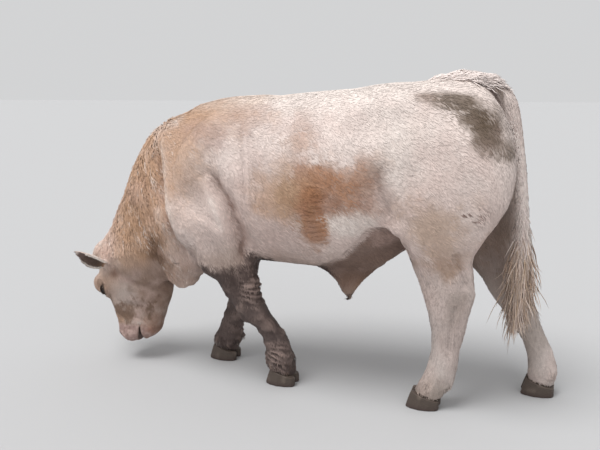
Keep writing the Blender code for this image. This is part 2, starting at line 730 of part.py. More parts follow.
def with_locks(item, locks, group):
    """The solid and its locks as one closed surface."""
    bundle = bpy.data.collections.new(f"{item.name}_locks")
    for form in locks:
        bundle.objects.link(form)
        group.objects.unlink(form)
    union = item.modifiers.new("Locks", "BOOLEAN")
    union.operation = "UNION"
    union.solver = "MANIFOLD"
    union.operand_type = "COLLECTION"
    union.collection = bundle
    settled(item)
    for form in locks:
        bpy.data.objects.remove(form, do_unlink=True)
    bpy.data.collections.remove(bundle)
    return largest_only(item)


def finished(item, colour, roughness=0.8):
    item.data.materials.clear()
    item.data.materials.append(coat(colour, roughness))
    for polygon in item.data.polygons:
        polygon.material_index = 0
    item.data.shade_smooth()
    item.data.set_sharp_from_angle(angle=math.radians(50.0))
    return item


def claw_outline(half_length, half_width, inner, sides=11):
    """Sole of one claw: pointed at the toe, rounded at the heel, flatter on its inner side."""
    points = []
    for index in range(sides):
        angle = 2.0 * math.pi * index / sides
        along = math.cos(angle)
        across = math.sin(angle)
        narrow = 1.0 - 0.45 * max(-along, 0.0) ** 2
        width = half_width * (0.82 if across * inner > 0 else 1.0)
        points.append((half_length * along, width * bulge(across, 2.4) * narrow))
    return points


def claw(name, foot_x, foot_y, side, group):
    """One horn claw, from its flat sole to the hairline."""
    centre_y = foot_y + side * (CLAW_SPREAD * CLAW_WIDTH + 0.0008)
    rings = []
    for height, length, back, width in CLAW_LEVELS:
        outline = claw_outline(0.5 * CLAW_LENGTH * length, 0.5 * CLAW_WIDTH * width, -side)
        rings.append([Vector((foot_x + back + x, centre_y + y, height)) for x, y in outline])
    return loft(name, rings, group)


def coronet_plane(foot_x):
    """A point and the normal of the plane where hair meets horn, higher over the toe."""
    normal = Vector((math.sin(CORONET_SLOPE), 0.0, math.cos(CORONET_SLOPE)))
    return Vector((foot_x, 0.0, CORONET_HEIGHT)), normal


def ear_half_width(u):
    """Half width of an ear at a share of its length."""
    width = 0.42 + 0.62 * math.sin(math.pi * min(u, 0.62) / 1.24) ** 1.4
    narrow = max(1.0 - max(u - 0.50, 0.0) / 0.50, 0.0) ** 0.62
    return max(EAR_HALF_WIDTH * width * narrow, 0.004)


def ear_surface(name, root, reach, opening, group, rows=11, columns=8):
    """A cupped leaf along a reach from its root, hollow on the side that it opens to."""
    along = reach.normalized()
    open_way = (opening - along * opening.dot(along)).normalized()
    across = along.cross(open_way)
    bm = bmesh.new()
    grid = []
    for row in range(rows):
        u = row / (rows - 1)
        width = ear_half_width(u)
        cup = 1.25 - 0.75 * u
        round_off = max(cup * 1.1, 0.6)
        spine = root + along * (u * EAR_LENGTH) + open_way * (EAR_BEND * math.sin(math.pi * u))
        line = []
        for column in range(columns):
            sweep = EAR_EDGE_ANGLE * cup * (2.0 * column / (columns - 1) - 1.0)
            side = width * math.sin(sweep) / round_off
            rise = width * (1.0 - math.cos(sweep)) / round_off
            line.append(bm.verts.new(spine + across * side + open_way * rise))
        grid.append(line)
    for lower, upper in zip(grid, grid[1:]):
        for column in range(columns - 1):
            bm.faces.new((lower[column], lower[column + 1], upper[column + 1], upper[column]))
    item = add_object(name, mesh_from(name, bm), group)
    wall = item.modifiers.new("Wall", "SOLIDIFY")
    wall.thickness = EAR_THICKNESS
    wall.offset = 0.0
    split = item.modifiers.new("Split", "TRIANGULATE")
    split.quad_method = "FIXED"
    return settled(item)


def cut_nostril(head, frame, sign, group):
    down, out, rise = NOSTRIL
    place = frame @ Matrix.Translation((down, sign * out, rise))
    place = place @ Matrix.Rotation(sign * NOSTRIL_TURN, 4, "Z")
    place = place @ Matrix.Diagonal((*NOSTRIL_RADII, 1.0))
    boolean(head, cutter(ball(f"nostril_{sign:+.0f}", place, group, 12, 8)), "DIFFERENCE")


def lid_ring(name, place, group, points=18, sides=8):
    """The two lids as one oval ring in the x and y of a frame, standing up along its z."""
    bm = bmesh.new()
    loops = []
    for index in range(points):
        turn = 2.0 * math.pi * index / points
        line = []
        for step in range(sides):
            roll = 2.0 * math.pi * step / sides
            reach = LID_REACH + LID_HALF_WIDTH * math.cos(roll)
            line.append(bm.verts.new(place @ Vector((
                LID_LENGTH * reach * math.cos(turn), LID_OPENING * reach * math.sin(turn),
                LID_OUT + LID_HEIGHT * math.sin(roll)))))
        loops.append(line)
    for index, line in enumerate(loops):
        after = loops[(index + 1) % points]
        for step in range(sides):
            up = (step + 1) % sides
            bm.faces.new((line[step], line[up], after[up], after[step]))
    return cutter(add_object(name, mesh_from(name, bm), group))


def set_eye(head, frame, side, label, parts, tools):
    """Lids on the head, a socket in it, and the eyeball that sits there."""
    sign = side_of(frame, side)
    place = frame @ Matrix.Translation((EYE_DOWN, sign * EYE_OUT, EYE_RISE))
    facing_out = place @ Matrix.Rotation(math.radians(-sign * 90.0), 4, "X")
    boolean(head, lid_ring(f"lids_{label}", facing_out, tools), "UNION")
    hollow = Matrix.Scale(EYE_RADIUS + 2.0 * GAP, 4)
    socket = cutter(ball(f"socket_{label}", place @ hollow, tools, 12, 8))
    boolean(head, socket, "DIFFERENCE", "MANIFOLD")
    eye = ball(f"eye_{label}", place @ Matrix.Scale(EYE_RADIUS, 4), parts, 12, 8)
    finished(eye, "eye", 0.15)


def add_head(fine, before_neck, below_head, parts, tools):
    """The head with its mouth, nostrils and lids, and the two eyes."""
    frame = head_frame()
    head = copy_of(fine, "head", parts)
    boolean(head, below_head, "INTERSECT")
    boolean(head, before_neck, "INTERSECT")
    boolean(head, prism("mouth_line", MOUTH, -0.2, 0.2, tools, frame), "DIFFERENCE")
    for side, label in ((LEFT, "left"), (RIGHT, "right")):
        cut_nostril(head, frame, side_of(frame, side), tools)
        set_eye(head, frame, side, label, parts, tools)
    lie = frame.to_3x3() @ Vector((1.0, 0.0, 0.0))
    inwards = frame.to_3x3() @ Vector((0.0, 0.0, -1.0))
    rays = [(frame @ Vector((face, out, 0.4)), inwards) for face, out in POLL_ROOTS]
    tuft(head, rays, lie, 0.42, 0.062, tools)
    return finished(head, "face_coat")


def add_ears(clear, parts):
    """The near ear stands out with its cup turned back, the far ear reaches forward."""
    frame = head_frame()
    ears = (
        ("ear_left", LEFT, Vector((-0.142, -0.150, 0.104)), Vector((0.36, -0.70, -0.42))),
        ("ear_right", RIGHT, Vector((-0.230, -0.004, -0.014)), Vector((-0.20, 0.55, -0.75))),
    )
    down, out, rise = EAR_ROOT
    for name, side, reach, opening in ears:
        root = frame @ Vector((down, side_of(frame, side) * out, rise))
        ear = ear_surface(name, root, reach, opening, parts)
        for neighbour in clear:
            boolean(ear, neighbour, "DIFFERENCE")
        finished(ear, "ear_coat")


def add_legs(body, hind, fore, parts, tools):
    """Each leg down to the hairline of its hoof, and the two claws below it."""
    for foot, (foot_x, foot_y) in FEET.items():
        point, normal = coronet_plane(foot_x)
        above = half_space(f"{foot}_above", point + normal * GAP, normal, tools)
        below = half_space(f"{foot}_below", point, -normal, tools)
        side = LEFT if foot.startswith("left") else RIGHT
        is_hind = foot.endswith("hind")
        held, _ = (hind if is_hind else fore)[side]
        leg = copy_of(body, f"leg_{foot}", parts)
        boolean(leg, held, "INTERSECT")
        boolean(leg, above, "INTERSECT")
        finished(leg, "pale_leg" if is_hind else "muddy_leg")
        for toe, label in ((LEFT, "left"), (RIGHT, "right")):
            horn = claw(f"claw_{foot}_{label}", foot_x, foot_y, toe, parts)
            boolean(horn, below, "INTERSECT")
            finished(horn, "horn", 0.5)


def add_sheath(body, parts, tools):
    """The sheath, and the block that clears its place in the torso."""
    half = SHEATH_REGION_HALF
    clear = prism("sheath_clear", SHEATH_REGION, -half, half, tools)
    held = prism("sheath_region", inset(SHEATH_REGION, GAP), GAP - half, half - GAP, tools)
    sheath = copy_of(body, "sheath", parts)
    boolean(sheath, held, "INTERSECT")
    up = Vector((0.0, 0.0, 1.0))
    rays = [(Vector((x, y, 0.2)), up) for x, y in SHEATH_ROOTS]
    tuft(sheath, rays, Vector((1.0, 0.0, 0.0)), 1.6, 0.024, tools)
    finished(sheath, "bare_skin")
    return clear


def add_tail(torso_clear, parts, tools):
    """The tail down to the end of its bone, and the switch of hair below."""
    end = Vector((1.0, 0.0, DOCK_END))
    up = Vector((0.0, 0.0, 1.0))
    above = half_space("above_dock_end", end + up * GAP, up, tools)
    below = half_space("below_dock_end", end, -up, tools)
    tail = tube_loft("tail", TAIL, 10, parts)
    boolean(tail, torso_clear, "DIFFERENCE")
    boolean(tail, above, "INTERSECT")
    finished(tail, "cream_coat")
    switch = tube_loft("tail_switch", SWITCH_CORE, 8, parts)
    with_locks(switch, switch_locks(random.Random(SEED), tools), tools)
    boolean(switch, below, "INTERSECT")
    finished(switch, "tail_hair")


def add_scrotum(clear, parts):
    scrotum = limb_loft("scrotum", SCROTUM, parts, 16, 2)
    thighs = [bpy.data.objects[name] for name in ("leg_left_hind", "leg_right_hind")]
    for neighbour in (*clear, *thighs):
        boolean(scrotum, neighbour, "DIFFERENCE", "MANIFOLD")
    finished(scrotum, "bare_skin")


def body_skins(tools):
    """The whole animal as one skin, and the head and neck once more with finer forms."""
    forms = body_forms(tools)
    head_parts = head_forms(tools)
    body = fused("body_skin", forms + head_parts, 0.013, 10, 7300, tools)
    neck_form = [form for form in forms if form.name == "throat_and_crest"]
    fine = fused("head_skin", head_parts + neck_form, 0.008, 8, 4300, tools)
    for form in forms + head_parts:
        bpy.data.objects.remove(form, do_unlink=True)
    return body, fine


def build():
    clear_scene()
    parts = new_collection("charolais_bull")
    tools = new_collection("cutters")
    body, fine = body_skins(tools)

    neck_point, neck_way = (vector.copy() for vector in NECK_CUT)
    head_point, head_way = (vector.copy() for vector in HEAD_CUT)
    neck_way.normalize()
    head_way.normalize()
    before_neck = half_space("before_neck", neck_point + neck_way * GAP, neck_way, tools)
    behind_neck = half_space("behind_neck", neck_point, -neck_way, tools)
    below_head = half_space("below_head", head_point + head_way * GAP, head_way, tools)
    above_head = half_space("above_head", head_point, -head_way, tools)
    hind = leg_blocks("hind_region", HIND_REGION, tools)
    fore = leg_blocks("fore_region", FORE_REGION, tools)

    neck = copy_of(body, "neck", parts)
    boolean(neck, before_neck, "INTERSECT")
    boolean(neck, above_head, "INTERSECT")
    finished(neck, "tan_coat")

    add_legs(body, hind, fore, parts, tools)
    sheath_clear = add_sheath(body, parts, tools)
    torso = copy_of(body, "torso", parts)
    boolean(torso, behind_neck, "INTERSECT")
    for blocks in (hind, fore):
        for _, clear in blocks.values():
            boolean(torso, clear, "DIFFERENCE")
    boolean(torso, sheath_clear, "DIFFERENCE")
    down = Vector((0.0, 0.0, -1.0))
    rays = [(Vector((x, y, 2.0)), down) for x, y in TAIL_HEAD_ROOTS]
    tuft(torso, rays, Vector((1.0, 0.0, 0.0)), 0.50, 0.078, tools)
    finished(torso, "cream_coat")

    head = add_head(fine, before_neck, below_head, parts, tools)
    head_clear = grown(head, "head_clear", GAP, tools)
    neck_clear = grown(neck, "neck_clear", GAP, tools)
    torso_clear = grown(torso, "torso_clear", GAP, tools)
    add_ears((head_clear, neck_clear), parts)
    add_tail(torso_clear, parts, tools)
    thighs = [grown(bpy.data.objects[name], f"{name}_clear", GAP, tools)
              for name in ("leg_left_hind", "leg_right_hind")]
    add_scrotum((*thighs, torso_clear), parts)
    for skin in (body, fine):
        bpy.data.objects.remove(skin, do_unlink=True)


build()
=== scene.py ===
"""A Charolais bull that grazes as it walks: skin, coat, hooves, eyes and the hair of its tail."""
import math

import bmesh
import bpy
import numpy as np
from mathutils import Matrix, Vector
from mathutils.bvhtree import BVHTree


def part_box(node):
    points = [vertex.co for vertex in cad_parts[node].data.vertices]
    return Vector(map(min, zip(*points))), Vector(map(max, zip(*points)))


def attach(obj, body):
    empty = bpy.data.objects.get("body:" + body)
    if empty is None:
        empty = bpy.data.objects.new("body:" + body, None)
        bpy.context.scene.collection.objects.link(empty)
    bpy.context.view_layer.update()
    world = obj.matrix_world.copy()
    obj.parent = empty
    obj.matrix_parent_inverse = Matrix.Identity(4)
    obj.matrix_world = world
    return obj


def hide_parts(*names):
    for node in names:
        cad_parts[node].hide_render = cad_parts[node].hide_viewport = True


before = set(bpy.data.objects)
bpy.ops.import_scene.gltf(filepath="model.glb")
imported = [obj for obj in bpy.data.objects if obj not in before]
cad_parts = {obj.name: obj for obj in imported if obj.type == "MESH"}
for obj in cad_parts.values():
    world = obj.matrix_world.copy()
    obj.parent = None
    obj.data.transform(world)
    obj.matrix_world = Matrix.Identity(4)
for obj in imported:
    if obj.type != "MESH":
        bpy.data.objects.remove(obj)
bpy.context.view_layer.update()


# The view: eye height beside the bull's near side, towards its head. A plain pale floor, and soft
# light mostly from above with a little from the viewer's side, as under a bright overcast sky.
def placed(name, data):
    """A new object in the scene."""
    item = bpy.data.objects.new(name, data)
    bpy.context.scene.collection.objects.link(item)
    return item


camera = placed("camera", bpy.data.cameras.new("camera"))
camera.data.lens = 45.0
camera.data.sensor_width = 36.0
EYE_HEIGHT, HEADING, TILT_DOWN, ROLL = 1.5, 18.9, 11.82, -0.6
camera.matrix_world = (Matrix.Translation((1.172, -3.311, EYE_HEIGHT))
                       @ Matrix.Rotation(math.radians(HEADING), 4, "Z")
                       @ Matrix.Rotation(math.radians(90.0 - TILT_DOWN), 4, "X")
                       @ Matrix.Rotation(math.radians(ROLL), 4, "Z"))
bpy.context.scene.camera = camera
bpy.context.scene.view_settings.view_transform = "Standard"

FLOOR = 30.0
floor_mesh = bpy.data.meshes.new("floor")
floor_mesh.from_pydata([(-FLOOR, -FLOOR, 0), (FLOOR, -FLOOR, 0), (FLOOR, FLOOR, 0), (-FLOOR, FLOOR, 0)],
                       [], [(0, 1, 2, 3)])
floor = placed("floor", floor_mesh)
floor_finish = bpy.data.materials.new("pale_floor")
floor_finish.use_nodes = True
floor_shader = floor_finish.node_tree.nodes["Principled BSDF"]
floor_shader.inputs["Base Color"].default_value = (0.477, 0.478, 0.482, 1.0)
floor_shader.inputs["Roughness"].default_value = 0.9
floor.data.materials.append(floor_finish)

sky = bpy.data.worlds.new("sky")
sky.use_nodes = True
sky_light = sky.node_tree.nodes["Background"].inputs
sky_light["Color"].default_value = (0.985, 0.99, 1.0, 1.0)
sky_light["Strength"].default_value = 0.66
bpy.context.scene.world = sky
for name, place, spread, power in (("overcast", (-0.7, -0.9, 2.6), 34.0, 2.45),
                                   ("clearing", (1.4, -2.4, 1.3), 40.0, 0.22)):
    light = placed(name, bpy.data.lights.new(name, "SUN"))
    light.data.energy = power
    light.data.angle = math.radians(spread)
    light.matrix_world = Vector(place).to_track_quat("Z", "Y").to_matrix().to_4x4()


# The flesh: one skin over the whole body, from the muzzle to the end of the tail's bone. It is
# fused from the cut parts, smoothed, drawn in by the depth of the coat, and then modelled with
# the folds, muscles and hollows of a heavy bull.
FLESH = ("torso", "neck", "head", "tail", "sheath", "scrotum", "ear_left", "ear_right",
         "leg_left_fore", "leg_right_fore", "leg_left_hind", "leg_right_hind")
POLL = Vector((-1.03, 0.015, 0.56))
# How the head leans, turns and tilts, in degrees.
HEAD_LEAN, HEAD_YAW, HEAD_TILT = 14.6, 10.0, -5.0
# The skin's grain, how near two corners count as one, and how far parts swell to close their cuts.
SKIN_GRAIN = 0.006
SAME_PLACE = 2e-5
SEAM_SWELL = 0.0009
TURN = 2.0 * math.pi


def head_axes():
    """The head's own frame: x down the face, y out to one side, z up out of the forehead."""
    lean = math.radians(HEAD_LEAN)
    down = Vector((math.sin(lean), 0.0, -math.cos(lean)))
    rise = Vector((-math.cos(lean), 0.0, -math.sin(lean)))
    axes = Matrix((down, rise.cross(down), rise)).transposed().to_4x4()
    turn = (Matrix.Rotation(math.radians(HEAD_YAW), 4, "Z")
            @ Matrix.Rotation(math.radians(HEAD_TILT), 4, "X"))
    return Matrix.Translation(POLL) @ turn @ axes


HEAD = head_axes()
HEAD_TURN = np.array(HEAD.to_3x3())
HEAD_PLACE = np.array(HEAD.translation)
HEAD_INVERSE = np.array(HEAD.inverted())


def on_head(points):
    """Points in the head's own frame."""
    return points @ HEAD_INVERSE[:3, :3].T + HEAD_INVERSE[:3, 3]


def smooth_step(value, low, high):
    """0 up to a low value, 1 from a high one on, and a soft rise between them."""
    share = np.clip((value - low) / (high - low), 0.0, 1.0)
    return share * share * (3.0 - 2.0 * share)


def fading(value, low, high):
    """1 up to a low value, 0 from a high one on, and a soft fall between them."""
    return 1.0 - smooth_step(value, low, high)


def mottle(points, size, seed=0):
    """Soft random values between -1 and 1 that vary over a size, as patches in a coat do."""
    scaled = points / size + 37.0
    cell = np.floor(scaled).astype(np.int64)
    part = scaled - cell
    part = part * part * (3.0 - 2.0 * part)
    total = np.zeros(len(points))
    for corner in range(8):
        step = np.array([corner & 1, corner >> 1 & 1, corner >> 2 & 1])
        where = cell + step
        mix = where[:, 0] * 73856093 ^ where[:, 1] * 19349663 ^ where[:, 2] * 83492791 ^ seed * 2654435
        mix = (mix ^ (mix >> 13)) * 1274126177 & 0xFFFFFFF
        value = ((mix >> 7) & 0xFFFF) / 32767.5 - 1.0
        weight = np.prod(np.where(step == 1, part, 1.0 - part), axis=1)
        total += value * weight
    return total


def mesh_arrays(mesh):
    """The places and outward directions of a mesh's corners."""
    arrays = np.empty(len(mesh.vertices) * 3), np.empty(len(mesh.vertices) * 3)
    for values, kind in zip(arrays, ("co", "normal")):
        mesh.vertices.foreach_get(kind, values)
    return tuple(values.reshape(-1, 3) for values in arrays)


def set_points(mesh, points):
    mesh.vertices.foreach_set("co", points.ravel())
    mesh.update()


def edge_array(mesh):
    edges = np.empty(len(mesh.edges) * 2, np.int32)
    mesh.edges.foreach_get("vertices", edges)
    return edges.reshape(-1, 2)


def relaxed(points, edges, share, rounds):
    """Points drawn towards the mean of their neighbours, by a share of the way each round."""
    first, second = edges[:, 0], edges[:, 1]
    count = len(points)
    near = np.bincount(first, minlength=count) + np.bincount(second, minlength=count)
    near = np.maximum(near, 1)
    share = np.broadcast_to(share, (count,))[:, None]
    for _ in range(rounds):
        mean = np.empty_like(points)
        for axis in range(3):
            value = points[:, axis]
            mean[:, axis] = (np.bincount(first, value[second], count)
                             + np.bincount(second, value[first], count)) / near
        points = points + (mean - points) * share
    return points


def applied(item):
    """The modifiers' result as the object's own mesh."""
    graph = bpy.context.evaluated_depsgraph_get()
    mesh = bpy.data.meshes.new_from_object(item.evaluated_get(graph))
    item.modifiers.clear()
    item.data = mesh
    return item


def remeshed(item, size):
    form = item.modifiers.new("Fuse", "REMESH")
    form.mode = "VOXEL"
    form.voxel_size = size
    return applied(item)


def near_point(points, centre, radii):
    """How close points are to a centre, from 1 there to 0 at its radii."""
    distance = np.sqrt((((points - np.array(centre)) / np.array(radii)) ** 2).sum(1))
    return fading(distance, 0.0, 1.0)


def near_any(points, spots):
    """How close points are to the nearest of some spots, each a centre and its radii."""
    return np.max([near_point(points, centre, radii) for centre, radii in spots], axis=0)


def solid_form(name):
    """A solid of the frame, with its loose triangles joined."""
    form = bmesh.new()
    form.from_mesh(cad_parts[name].data)
    bmesh.ops.remove_doubles(form, verts=form.verts, dist=SAME_PLACE)
    return form


def as_mesh(form, name):
    """A form turned into a new mesh."""
    mesh = bpy.data.meshes.new(name)
    form.to_mesh(mesh)
    form.free()
    return mesh


def fused_flesh():
    """All parts of flesh in one closed surface, with their seams closed."""
    gathered = bmesh.new()
    for name in FLESH:
        part = solid_form(name)
        part.normal_update()
        for vert in part.verts:
            vert.co += vert.normal * SEAM_SWELL
        gathered.from_mesh(as_mesh(part, name))
    return remeshed(placed("skin", as_mesh(gathered, "skin")), SKIN_GRAIN)


skin = fused_flesh()
points, normals = mesh_arrays(skin.data)
edges = edge_array(skin.data)
face = on_head(points)

# The coarse locks of the solids give way to hair, and the slit of the lips, the nostrils and
# the lids are closed here, to be modelled again finer below.
calm_on_face = [((0.02, 0.0, 0.085), (0.12, 0.1, 0.075)), ((0.445, 0.0, -0.06), (0.11, 0.13, 0.05))]
for side in (-1.0, 1.0):
    calm_on_face.append(((0.46, side * 0.058, 0.03), (0.05, 0.035, 0.04)))
    calm_on_face.append(((0.178, side * 0.115, 0.042), (0.06, 0.05, 0.05)))
calm = near_any(points, (((0.82, 0.0, 1.5), (0.2, 0.11, 0.1)), ((0.28, 0.0, 0.41), (0.05, 0.05, 0.05))))
calm = np.maximum(calm, near_any(face, calm_on_face))
points = relaxed(points, edges, 0.9 * np.minimum(calm * 2.5, 1.0), 90)
points = relaxed(points, edges, 0.45, 6)
set_points(skin.data, points)
skin = remeshed(skin, SKIN_GRAIN)


def finer_where(mesh, chosen):
    """Halve the edges of all faces whose corners a test chooses."""
    form = bmesh.new()
    form.from_mesh(mesh)
    places = np.array([vert.co[:] for vert in form.verts])
    picked = chosen(places)
    sides = [edge for edge in form.edges if picked[edge.verts[0].index] and picked[edge.verts[1].index]]
    bmesh.ops.subdivide_edges(form, edges=sides, cuts=1, use_grid_fill=True)
    form.to_mesh(mesh)
    form.free()


def is_head(places):
    down, out, rise = on_head(places).T
    return (down > 0.06) & (down < 0.6) & (np.abs(out) < 0.16) & (rise > -0.2)


EYE = (0.178, 0.104, 0.042)
NOSTRIL = (0.455, 0.053, 0.032)


def is_fine_face(places):
    """The lids, the nostrils and the lips."""
    down, out, rise = on_head(places).T
    eye = (np.abs(down - EYE[0]) < 0.045) & (np.abs(rise - EYE[2]) < 0.035) & (np.abs(out) > 0.06)
    return eye | ((down > 0.4) & (rise > -0.14))


finer_where(skin.data, is_head)
finer_where(skin.data, is_fine_face)
points, normals = mesh_arrays(skin.data)
edges = edge_array(skin.data)
in_head = smooth_step(-points[:, 0], 0.66, 0.8) * fading(points[:, 2], 0.6, 0.72)
on_leg = fading(points[:, 2], 0.5, 0.75)
points = relaxed(points, edges, 0.35 * (1.0 - 0.5 * in_head), 8)


def groove(points, path, reach, sharp=False):
    """How close points are to a bent line, 1 on it and 0 at a reach. A sharp one peaks on the line."""
    path = np.array(path)
    result = np.zeros(len(points))
    low, high = path.min(0) - reach, path.max(0) + reach
    near = np.flatnonzero(((points > low) & (points < high)).all(1))
    some = points[near]
    best = np.full(len(some), 9.0)
    place = np.zeros(len(some))
    for number, (start, end) in enumerate(zip(path, path[1:])):
        way = end - start
        share = np.clip((some - start) @ way / (way @ way), 0.0, 1.0)
        away = np.linalg.norm(some - start - share[:, None] * way, axis=1)
        closer = away < best
        best = np.where(closer, away, best)
        place = np.where(closer, (number + share) / (len(path) - 1), place)
    if sharp:
        taper = smooth_step(np.minimum(place, 1.0 - place), 0.0, 0.2)
        result[near] = np.maximum(1.0 - best / reach, 0.0) ** 1.5 * taper
    else:
        result[near] = fading(best, 0.0, reach)
    return result


def both_sides(path):
    """A line and its mirror image on the far side."""
    return path, [(x, -y, z) for x, y, z in path]


form = bmesh.new()
form.from_mesh(skin.data)
flesh_tree = BVHTree.FromBMesh(form)
form.free()


def laid_line(path, rise):
    """A line through places close to the skin, laid on it, and the same line at the fold's bottom."""
    upper, lower = [], []
    for start, end in zip(path, path[1:]):
        steps = max(int((Vector(end) - Vector(start)).length / 0.02), 1)
        for step in range(steps):
            place, way, _, _ = flesh_tree.find_nearest(Vector(start).lerp(Vector(end), step / steps))
            upper.append(place)
            lower.append(place + way * rise)
    place, way, _, _ = flesh_tree.find_nearest(Vector(path[-1]))
    return upper + [place], lower + [place + way * rise]


# Folds and hollows on either side: a line on the skin, how wide, and how far it stands out.
FOLDS = (
    ([(-0.675, -0.088, 1.185), (-0.608, -0.18, 1.057), (-0.57, -0.225, 0.912),
      (-0.527, -0.259, 0.773), (-0.491, -0.17, 0.623), (-0.475, -0.132, 0.565)], 0.062, -0.044),
    ([(-0.6, -0.12, 1.19), (-0.56, -0.2, 1.05), (-0.52, -0.245, 0.9),
      (-0.48, -0.262, 0.77), (-0.45, -0.2, 0.64)], 0.048, 0.024),
    ([(-0.33, -0.262, 1.08), (-0.286, -0.269, 1.01), (-0.259, -0.278, 0.962),
      (-0.23, -0.285, 0.937), (-0.196, -0.285, 0.853), (-0.17, -0.265, 0.762), (-0.148, -0.246, 0.66),
      (-0.13, -0.235, 0.59)], 0.06, -0.048),
    ([(-0.32, -0.275, 0.99), (-0.275, -0.29, 0.89), (-0.24, -0.285, 0.78)], 0.065, 0.022),
    ([(-0.211, -0.287, 0.97), (-0.164, -0.29, 0.86), (-0.115, -0.245, 0.689)], 0.032, -0.014),
    ([(-0.174, -0.219, 1.241), (-0.142, -0.28, 1.106), (-0.117, -0.302, 0.9)], 0.036, -0.01),
    ([(-0.14, -0.219, 1.241), (-0.106, -0.28, 1.106), (-0.092, -0.302, 0.93)], 0.03, 0.007),
    ([(-0.112, -0.229, 1.243), (-0.07, -0.292, 1.109), (-0.06, -0.302, 0.88)], 0.036, -0.009),
    ([(-0.36, -0.25, 0.86), (-0.3, -0.28, 0.85), (-0.23, -0.28, 0.8)], 0.034, -0.01),
    ([(-0.33, -0.25, 0.83), (-0.26, -0.28, 0.77), (-0.21, -0.26, 0.68)], 0.045, 0.01),
    ([(-0.04, -0.287, 1.16), (-0.02, -0.305, 0.97), (-0.035, -0.3, 0.8)], 0.03, -0.007),
    ([(0.5, -0.3, 1.14), (0.478, -0.32, 1.047), (0.515, -0.31, 0.943), (0.545, -0.305, 0.83)],
     0.075, -0.02),
    ([(0.59, -0.3, 1.13), (0.57, -0.32, 1.04), (0.61, -0.31, 0.94)], 0.08, 0.009),
    ([(0.46, -0.31, 0.9), (0.5, -0.3, 0.84), (0.56, -0.28, 0.77)], 0.035, 0.012),
    ([(0.48, -0.29, 0.83), (0.53, -0.25, 0.76)], 0.04, -0.014),
    ([(0.88, -0.27, 1.12), (0.85, -0.3, 0.98), (0.83, -0.29, 0.8)], 0.075, -0.0095),
    ([(0.77, -0.31, 0.97), (0.8, -0.32, 1.01), (0.84, -0.315, 1.05)], 0.012, -0.003),
    ([(-0.8, -0.15, 0.93), (-0.74, -0.18, 0.8), (-0.7, -0.15, 0.64)], 0.04, -0.012),
    ([(-0.87, -0.13, 0.8), (-0.81, -0.15, 0.7), (-0.76, -0.12, 0.59)], 0.03, -0.006),
    ([(-0.74, -0.14, 1.06), (-0.68, -0.19, 0.93), (-0.64, -0.19, 0.76)], 0.045, -0.012),
    ([(-0.64, -0.03, 0.44), (-0.59, -0.06, 0.52), (-0.56, -0.11, 0.62)], 0.03, -0.008),
)
# Cords and bones of single legs.
LEG_FOLDS = (
    ([(0.8, -0.24, 0.74), (0.828, -0.228, 0.67), (0.842, -0.212, 0.605)], 0.03, -0.012),
    ([(0.975, 0.24, 0.74), (1.012, 0.228, 0.67), (1.035, 0.212, 0.605)], 0.03, -0.012),
    ([(0.8, -0.212, 0.5), (0.785, -0.206, 0.4), (0.778, -0.202, 0.27)], 0.02, -0.006),
    ([(1.03, 0.212, 0.5), (1.09, 0.206, 0.38), (1.14, 0.202, 0.27)], 0.02, -0.006),
    ([(-0.21, -0.24, 0.54), (-0.18, -0.225, 0.45), (-0.14, -0.205, 0.38)], 0.03, -0.006),
    ([(-0.05, -0.18, 0.28), (-0.02, -0.165, 0.2)], 0.018, -0.006),
    ([(-0.34, 0.195, 0.27), (-0.375, 0.18, 0.21)], 0.018, -0.006),
    ([(-0.17, -0.2, 0.385), (-0.14, -0.203, 0.345)], 0.03, 0.006),
)
x, y, z = points.T
height = np.zeros(len(points))
CREASE_SHADE_LINES, RIDGE_HIGHLIGHT_LINES = [], []
DEEP, FULL_SHADE, HIGH = -0.01, 0.036, 0.019
for path, reach, rise in FOLDS:
    for line in both_sides(path):
        upper, lower = laid_line(line, rise)
        height += rise * groove(points, upper, reach, rise < 0.0)
        # Deep folds also get painted shade along their bottoms, and high ridges a painted highlight along
        # their crests.
        if rise < DEEP:
            CREASE_SHADE_LINES.append((lower, 0.9 * reach, min(-rise / FULL_SHADE, 1.0)))
        elif rise > HIGH:
            RIDGE_HIGHLIGHT_LINES.append((lower, 0.5 * reach))
for path, reach, rise in LEG_FOLDS:
    upper, _ = laid_line(path, rise)
    height += 1.5 * rise * groove(points, upper, reach)

# The dark cleft between the rump and the tail, on either side, and the hollow under the flank.
CLEFT_DEPTH = 0.012
CLEFT_LINE = [(0.847, -0.05, 1.407), (0.901, -0.055, 1.378), (0.96, -0.06, 1.308),
              (1.0, -0.06, 1.226), (1.02, -0.06, 1.127), (1.016, -0.06, 1.013)]
cleft_lines = [laid_line(line, -CLEFT_DEPTH) for line in both_sides(CLEFT_LINE)]
CLEFT_SHADE_LINES = [lower for _, lower in cleft_lines]
height -= CLEFT_DEPTH * np.max([groove(points, upper, 0.03) for upper, _ in cleft_lines], axis=0)


def flank_hollow(points):
    """How far inside the dark hollow under the flank's fold, from 0 to 1."""
    x, _, z = points.T
    edge = np.interp(x, [0.1, 0.212, 0.304, 0.372, 0.437, 0.503, 0.568, 0.6],
                     [0.6, 0.64, 0.683, 0.755, 0.828, 0.846, 0.807, 0.74])
    edge = edge + 0.01 * mottle(points, 0.03, 30)
    inside = smooth_step(edge - z, -0.008, 0.03) * smooth_step(x, 0.13, 0.26)
    return inside * fading(x, 0.57, 0.61) * (z > 0.5)


height -= 0.03 * flank_hollow(points) * smooth_step(np.abs(y), 0.06, 0.16)
height += 0.024 * near_point(points, (-1.03, 0.0, 0.645), (0.075, 0.11, 0.065))

